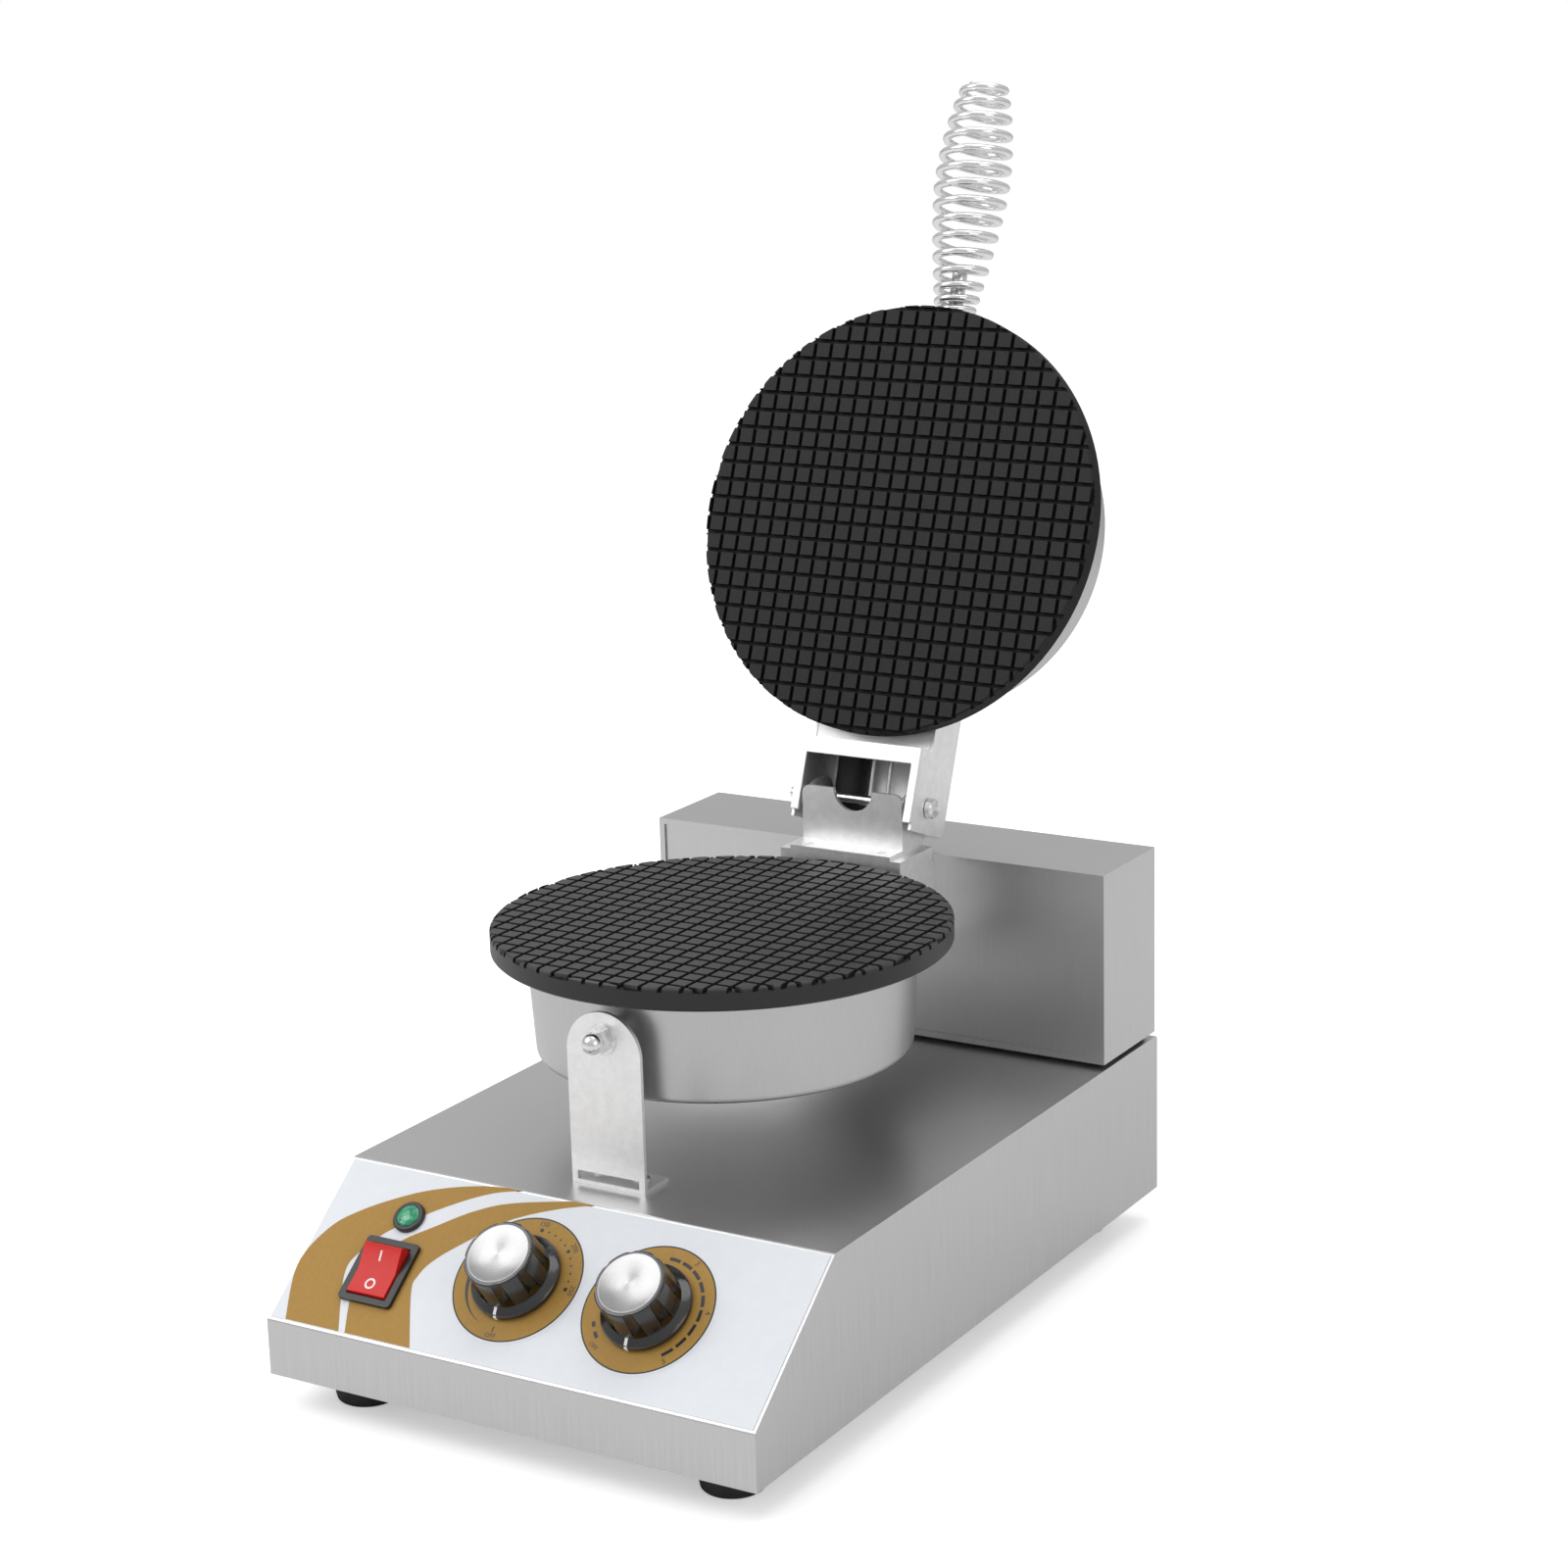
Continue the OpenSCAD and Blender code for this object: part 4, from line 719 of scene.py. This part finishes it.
def build_line(name, route, x, radius, material, replaced, sides=20):
    """A round line behind the hinge, bent between the base and the lid."""
    line = smooth_edge(route, 8)
    path = [HINGE + Vector((x, y, z)) * MM for y, z in line]
    mesh = swept(name, path, [Vector((1, 0, 0))] * len(path), radius * MM, sides)
    made = piece(name, mesh, material, None, (replaced,))
    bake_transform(made)


# Studio

def build_camera():
    back = Vector((math.sin(CAMERA_AZIMUTH) * math.cos(CAMERA_ELEVATION),
                   -math.cos(CAMERA_AZIMUTH) * math.cos(CAMERA_ELEVATION), math.sin(CAMERA_ELEVATION)))
    right = (-back).cross(Vector((0, 0, 1))).normalized()
    up = right.cross(-back)
    cam_x = right * math.cos(CAMERA_ROLL) + up * math.sin(CAMERA_ROLL)
    cam_y = up * math.cos(CAMERA_ROLL) - right * math.sin(CAMERA_ROLL)
    data = bpy.data.cameras.new("camera")
    data.lens = CAMERA_LENS
    data.sensor_width = SENSOR
    data.sensor_fit = "HORIZONTAL"
    data.clip_end = 50
    made = bpy.data.objects.new("camera", data)
    made.matrix_world = Matrix.Translation(CAMERA_AT) @ Matrix((cam_x, cam_y, back)).transposed().to_4x4()
    bpy.context.scene.collection.objects.link(made)
    bpy.context.scene.camera = made


def area_light(name, at, target, size, power):
    """A square lamp, in metres and watts."""
    data = bpy.data.lights.new(name, "AREA")
    data.shape = "RECTANGLE"
    data.size = size
    data.size_y = size
    data.energy = power
    made = bpy.data.objects.new(name, data)
    made.location = at
    made.rotation_euler = (Vector(target) - Vector(at)).to_track_quat("-Z", "Y").to_euler()
    bpy.context.scene.collection.objects.link(made)


def build_world():
    """White to the camera, and a soft grey gradient to everything else."""
    world = bpy.data.worlds.new("studio")
    bpy.context.scene.world = world
    world.use_nodes = True
    tree = world.node_tree
    tree.nodes.clear()
    output = tree.nodes.new("ShaderNodeOutputWorld")
    paths = tree.nodes.new("ShaderNodeLightPath")
    source = tree.nodes.new("ShaderNodeTexCoord")
    split = tree.nodes.new("ShaderNodeSeparateXYZ")
    tree.links.new(source.outputs["Generated"], split.inputs[0])
    stops = [(0.0, grey(0.50)), (0.5, grey(0.50)), (0.56, grey(0.52)), (0.75, grey(0.62)),
             (1.0, grey(0.80))]
    sky = ramp(tree, from_signed(tree, split.outputs["Z"]), stops)
    soft = tree.nodes.new("ShaderNodeBackground")
    tree.links.new(sky, soft.inputs["Color"])
    white = tree.nodes.new("ShaderNodeBackground")
    white.inputs["Color"].default_value = (1, 1, 1, 1)
    mixed = tree.nodes.new("ShaderNodeMixShader")
    tree.links.new(paths.outputs["Is Camera Ray"], mixed.inputs["Fac"])
    tree.links.new(soft.outputs[0], mixed.inputs[1])
    tree.links.new(white.outputs[0], mixed.inputs[2])
    tree.links.new(mixed.outputs[0], output.inputs["Surface"])


def from_signed(tree, value):
    """A value from -1 to 1 spread over 0 to 1."""
    made = node(tree, "ShaderNodeMapRange", From_Min=-1.0, From_Max=1.0)
    tree.links.new(value, made.inputs["Value"])
    return made.outputs["Result"]


def build_floor():
    """A pale floor, near white with a glow to the camera and plain grey to everything else."""
    half = 6.0
    points = [(-half, -half, 0), (half, -half, 0), (half, half, 0), (-half, half, 0)]
    mesh = from_lists("floor", points, [(0, 1, 2, 3)])
    made = bpy.data.objects.new("floor", mesh)
    bpy.context.scene.collection.objects.link(made)
    material, tree, shader = new_material("floor")
    shader.inputs["Base Color"].default_value = (0.86, 0.86, 0.86, 1)
    shader.inputs["Roughness"].default_value = 0.7
    dim = tree.nodes.new("ShaderNodeBsdfDiffuse")
    dim.inputs["Color"].default_value = (0.76, 0.76, 0.76, 1)
    output = tree.nodes["Material Output"]
    paths = tree.nodes.new("ShaderNodeLightPath")
    glow = tree.nodes.new("ShaderNodeEmission")
    glow.inputs["Strength"].default_value = 0.42
    added = tree.nodes.new("ShaderNodeAddShader")
    clear = tree.nodes.new("ShaderNodeMixShader")
    tree.links.new(shader.outputs[0], added.inputs[0])
    tree.links.new(glow.outputs[0], added.inputs[1])
    tree.links.new(paths.outputs["Is Camera Ray"], clear.inputs["Fac"])
    tree.links.new(dim.outputs[0], clear.inputs[1])
    tree.links.new(added.outputs[0], clear.inputs[2])
    tree.links.new(clear.outputs[0], output.inputs["Surface"])
    mesh.materials.append(material)


build_camera()
build_world()
build_floor()
area_light("key", (-1.6, -1.4, 2.0), (0, 0, 0.15), 1.6, 26)
area_light("fill", (2.2, -1.0, 1.2), (0, 0, 0.15), 1.4, 7)
area_light("top", (0.2, 0.6, 2.4), (0, 0, 0.2), 1.8, 16)
scene = bpy.context.scene
scene.view_settings.view_transform = "Standard"

# Rounding of the edges that show, in millimetres
BEVELS = {
    "base_shell": 0.5, "rear_housing": 0.5, "hinge_arm": 0.4, "lower_hinge_bracket": 0.35,
    "upper_hinge_bracket": 0.35, "hinge_frame_plate": 0.35, "front_bracket": 0.4, "lower_pan": 0.3,
    "upper_pan": 0.3, "lower_plate": 0.55, "upper_plate": 0.55, "rubber_feet": 0.5, "switch_housing": 0.4,
    "switch_rocker": 0.6, "temperature_knob": 0.35, "timer_knob": 0.35, "hinge_nut": 0.3, "pan_bolt_nut": 0.3,
    "pan_bolt_washer": 0.2, "cable_gland": 0.4, "rear_cover": 0.2,
}
for name, width in BEVELS.items():
    softened(name, width, OWN_LOOK.get(name))
for name, made in frame["nodes"].items():
    if name not in BEVELS:
        made.data.materials.clear()
        made.data.materials.append(MATERIALS[SLOT_OF[name]])

build_spring()
build_label()
build_cap("temperature_cap_spun", TEMP_CENTRE, BODY_OF["temperature_knob"], ("temperature_knob_cap",))
build_cap("timer_cap_spun", TIMER_CENTRE, BODY_OF["timer_knob"], ("timer_knob_cap",))
build_pointer("temperature_pointer", TEMP_CENTRE, BODY_OF["temperature_knob"])
build_pointer("timer_pointer", TIMER_CENTRE, BODY_OF["timer_knob"])
rocker_marks()
build_line("cable_sleeve", SLEEVE_ROUTE, SLEEVE_X, SLEEVE_R, "rubber_black", "lid_cable_sleeve")
build_line("sensor_tube", LINE_ROUTE, SENSOR_X, LINE_R, "copper_tube", "lid_sensor_tube", 12)
build_line("earth_wire", LINE_ROUTE, EARTH_X, LINE_R, "bright_fasteners", "lid_earth_wire", 12)
